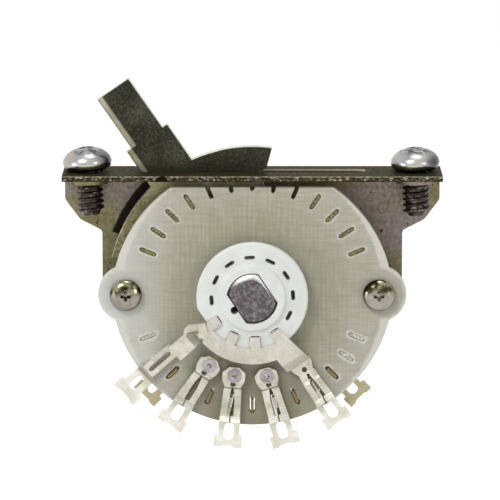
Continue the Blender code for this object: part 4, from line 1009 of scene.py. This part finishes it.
# %% [markdown]
# ## Rotor, shaft and bearing
#
# The moulded halves get soft edges, because a mould can't be filled right into
# its corners. Turned and stamped steel gets thin ones.

# %% Rotor, shaft and bearing
refine("rotor_front", 0.09, nylon, "white_nylon", TURNING)
refine("rotor_rear", 0.09, nylon, "white_nylon", TURNING)
refine("shaft", 0.06, turned_steel, "plain_steel", TURNING)
refine("shaft_bush", 0.08, brass, "brass")
refine("retaining_clip", 0.06, plain_steel, "plain_steel", TURNING)
refine("index_arm", 0.05, plain_steel, "plain_steel", TURNING)
print("turning pieces refined")

# %% [markdown]
# The balls that click from hole to hole are coarse in the CAD model, and a
# bevel would only soften their facets. An icosphere of the same size stands
# for each: its triangles are even, so it has no poles that pinch the shading.

# %% Index balls
BALL_RADIUS = 1.5875

for side in ("left", "right"):
    node = "index_ball_" + side
    low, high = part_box(node)
    centre = Matrix.Translation((Vector(low) + Vector(high)) / 2)
    bm = bmesh.new()
    bmesh.ops.create_icosphere(bm, subdivisions=4, radius=BALL_RADIUS * MM, matrix=centre)
    put(node + "_worked", bm, TURNING, "bright_screw_plating", bright, node)
print("index balls made")

# %% [markdown]
# ## Contacts
#
# Each clip was stamped and folded from thin strip, so its edges are barely
# rounded. Each pole has one common clip, four throws and a moving blade.

# %% Contacts
poles = (("front", silver, "silver_plated_strip"), ("rear", tinned, "tinned_strip"))
for pole, finish, slot in poles:
    refine(pole + "_common_terminal", 0.07, finish, slot)
    for number in range(1, 5):
        refine(f"{pole}_throw_terminal_{number}", 0.07, finish, slot)
    refine(pole + "_contact_blade", 0.07, blade_silver, "silver_plated_strip", TURNING)
print("contacts refined")

# %% [markdown]
# The pads that the lobe sweeps over are coined, with a shallow bowl in each.
# A pad has no centre of its own in the CAD model, so it is found from the
# corners of its front face, which lie evenly about the line from the shaft.

# %% Find a pad
PAD_RING = 10.4


def pad_centre(node):
    """The middle of a pad: on the line from the shaft through its nearest corners."""
    places = [vert.co - SHAFT for vert in frame["nodes"][node].data.vertices]
    near = [co for co in places if math.hypot(co.x, co.z) < (PAD_RING + 0.6) * MM]
    face = min(co.y for co in near)
    on_face = [Vector((co.x, 0, co.z)) for co in near if co.y < face + 0.02 * MM]
    outward = sum(on_face, Vector())
    return SHAFT + outward.normalized() * PAD_RING * MM + Vector((0, face, 0))


print("bowls lie", PAD_RING, "mm from the shaft")

# %% [markdown]
# Sinking the pad itself would need a ring of new corners in its face. A thin
# disc laid on the pad is simpler: its face is inset three times, and each
# smaller ring is pushed further in. Half of its thickness stands out of the
# pad, which the lobe passes 0.15 mm in front of, so the two stay clear.

# %% Coined pads
BOWL_RADIUS = 0.98
BOWL_HEIGHT = 0.06
INSETS_AND_DEPTHS = ((0.16, 0.006), (0.2, 0.014), (0.25, 0.01))

for number in range(1, 4):
    bm = bmesh.new()
    centre = pad_centre(f"front_throw_terminal_{number}")
    bmesh.ops.create_cone(
        bm,
        cap_ends=True,
        segments=28,
        radius1=BOWL_RADIUS * MM,
        radius2=(BOWL_RADIUS - BOWL_HEIGHT) * MM,
        depth=BOWL_HEIGHT * MM,
        matrix=Matrix.Translation(centre) @ Matrix.Rotation(90 * DEGREE, 4, "X"),
    )
    bm.faces.ensure_lookup_table()
    face = min(bm.faces, key=lambda f: f.calc_center_median().y)
    for inset, depth in INSETS_AND_DEPTHS:
        bmesh.ops.inset_region(bm, faces=[face], thickness=inset * MM)
        bmesh.ops.translate(bm, verts=face.verts, vec=(0, depth * MM, 0))
    bmesh.ops.recalc_face_normals(bm, faces=bm.faces)
    put(f"front_pad_bowl_{number}", bm, FIXED, "silver_plated_strip", dimple)
    print("bowl", number, "at", [round(v / MM, 2) for v in centre])

# %% [markdown]
# ## Fasteners
#
# In the CAD model a thread is a plain round shank. A bump map could draw its
# ridges, but their outline would stay straight, and it shows here against the
# white ground. So a ridge is modelled: one flat section, spun about the
# screw's axis while it moves down by one pitch for each turn. Its root is
# sunk into the core, so that no gap shows between the two.

# %% Wind a thread
STEPS_PER_TURN = 28
RIDGE_SHARE = 0.8
RIDGE_ROOT = 0.15
HALF_CREST = 0.07


def wind_thread(name, axis_frame, core, crest, pitch, start, end):
    """A helical ridge about a frame's Z axis, from start down to end."""
    turns = (start - end) / pitch
    steps = int(turns * STEPS_PER_TURN)
    bm = bmesh.new()
    half = pitch * RIDGE_SHARE / 2
    root = core - RIDGE_ROOT
    outline = ((root, half), (crest, HALF_CREST), (crest, -HALF_CREST), (root, -half))
    ring = [bm.verts.new((r * MM, 0, (start + z) * MM)) for r, z in outline]
    section = bm.faces.new(ring)
    bmesh.ops.spin(
        bm,
        geom=[section] + section.edges[:] + ring,
        cent=(0, 0, 0),
        axis=(0, 0, 1),
        dvec=(0, 0, (end - start) / steps * MM),
        angle=-turns * 2 * math.pi,
        steps=steps,
        use_merge=False,
        use_duplicate=False,
    )
    bmesh.ops.remove_doubles(bm, verts=bm.verts, dist=MERGE)
    bmesh.ops.recalc_face_normals(bm, faces=bm.faces)
    bmesh.ops.transform(bm, matrix=axis_frame, verts=bm.verts)
    gaps = sum(len(e.link_faces) != 2 for e in bm.edges)
    print(name, "turns:", round(turns, 1), "open edges:", gaps)
    put(name, bm, FIXED, "bright_screw_plating", thread_with_painted_dark_reflection)


print("thread helper ready, with", STEPS_PER_TURN, "steps to a turn")

# %% [markdown]
# The ridge stands on the thread's core, so the shank below the head is drawn
# in to it. Only corners that lie on the shank's round are moved, which leaves
# the head and its cross slot as they are.

# %% Draw in a shank
SHANK_ROOM = 0.15


def draw_in(bm, axis_frame, shank, core, below):
    """Shrinks a shank to the thread's core below a height in the screw's own frame."""
    flat_on = axis_frame.inverted()
    for vert in bm.verts:
        local = flat_on @ vert.co
        outward = Vector((local.x, local.y, 0))
        off_shank = abs(outward.length - shank * MM)
        if local.z < below * MM and off_shank < SHANK_ROOM * MM:
            vert.co = axis_frame @ (local - outward * (1 - core / shank))


print("shank helper ready, within", SHANK_ROOM, "mm of the shank")

# %% [markdown]
# Each mounting screw leans a little about a point below the plate's top face.
# Its head keeps the bright plating, and all that lies below that point takes
# the dark finish of the threads.

# %% Mounting screws
PIVOT = -0.75
SHANK = 1.75
CORE = 1.38
CREST = 1.74
PITCH = 0.72
UNDER_HEAD = 1.1
THREAD_TOP = 0.4
BARE_TIP = 0.35

for side, pivot_x, lean in (("left", -20.64, 3.8), ("right", 20.56, 2.2)):
    node = "mounting_screw_" + side
    pivot = Matrix.Translation((pivot_x * MM, 0, PIVOT * MM))
    axis_frame = pivot @ Matrix.Rotation(-lean * DEGREE, 4, "Y")
    flat_on = axis_frame.inverted()
    bm = worked_copy(node)
    tip = min((flat_on @ vert.co).z for vert in bm.verts) / MM
    draw_in(bm, axis_frame, SHANK, CORE, UNDER_HEAD)
    roll_edges(bm, corners(bm, 40), 0.06)
    screw = put(node + "_worked", bm, FIXED, "bright_screw_plating", bright, node)
    screw.data.materials.append(thread_with_painted_dark_reflection.material)
    for face in screw.data.polygons:
        if (flat_on @ face.center).z < 0:
            face.material_index = 1
    end = tip + BARE_TIP
    wind_thread(node + "_thread", axis_frame, CORE, CREST, PITCH, THREAD_TOP, end)
print("mounting screws finished")

# %% [markdown]
# The two small screws through the board's ears hold it on sleeves, with nuts
# behind the web. Their threads lie in the sleeves and nuts, all but a short
# tail, so they stay plain and only get rolled edges.

# %% Wafer screws, sleeves and nuts
for side in ("left", "right"):
    refine("wafer_spacer_" + side, 0.08, plain_steel, "plain_steel")
    refine("wafer_nut_" + side, 0.08, plain_steel, "plain_steel")
    refine("wafer_screw_" + side, 0.05, reflection_painted_plating, "bright_screw_plating")
print("fasteners refined")
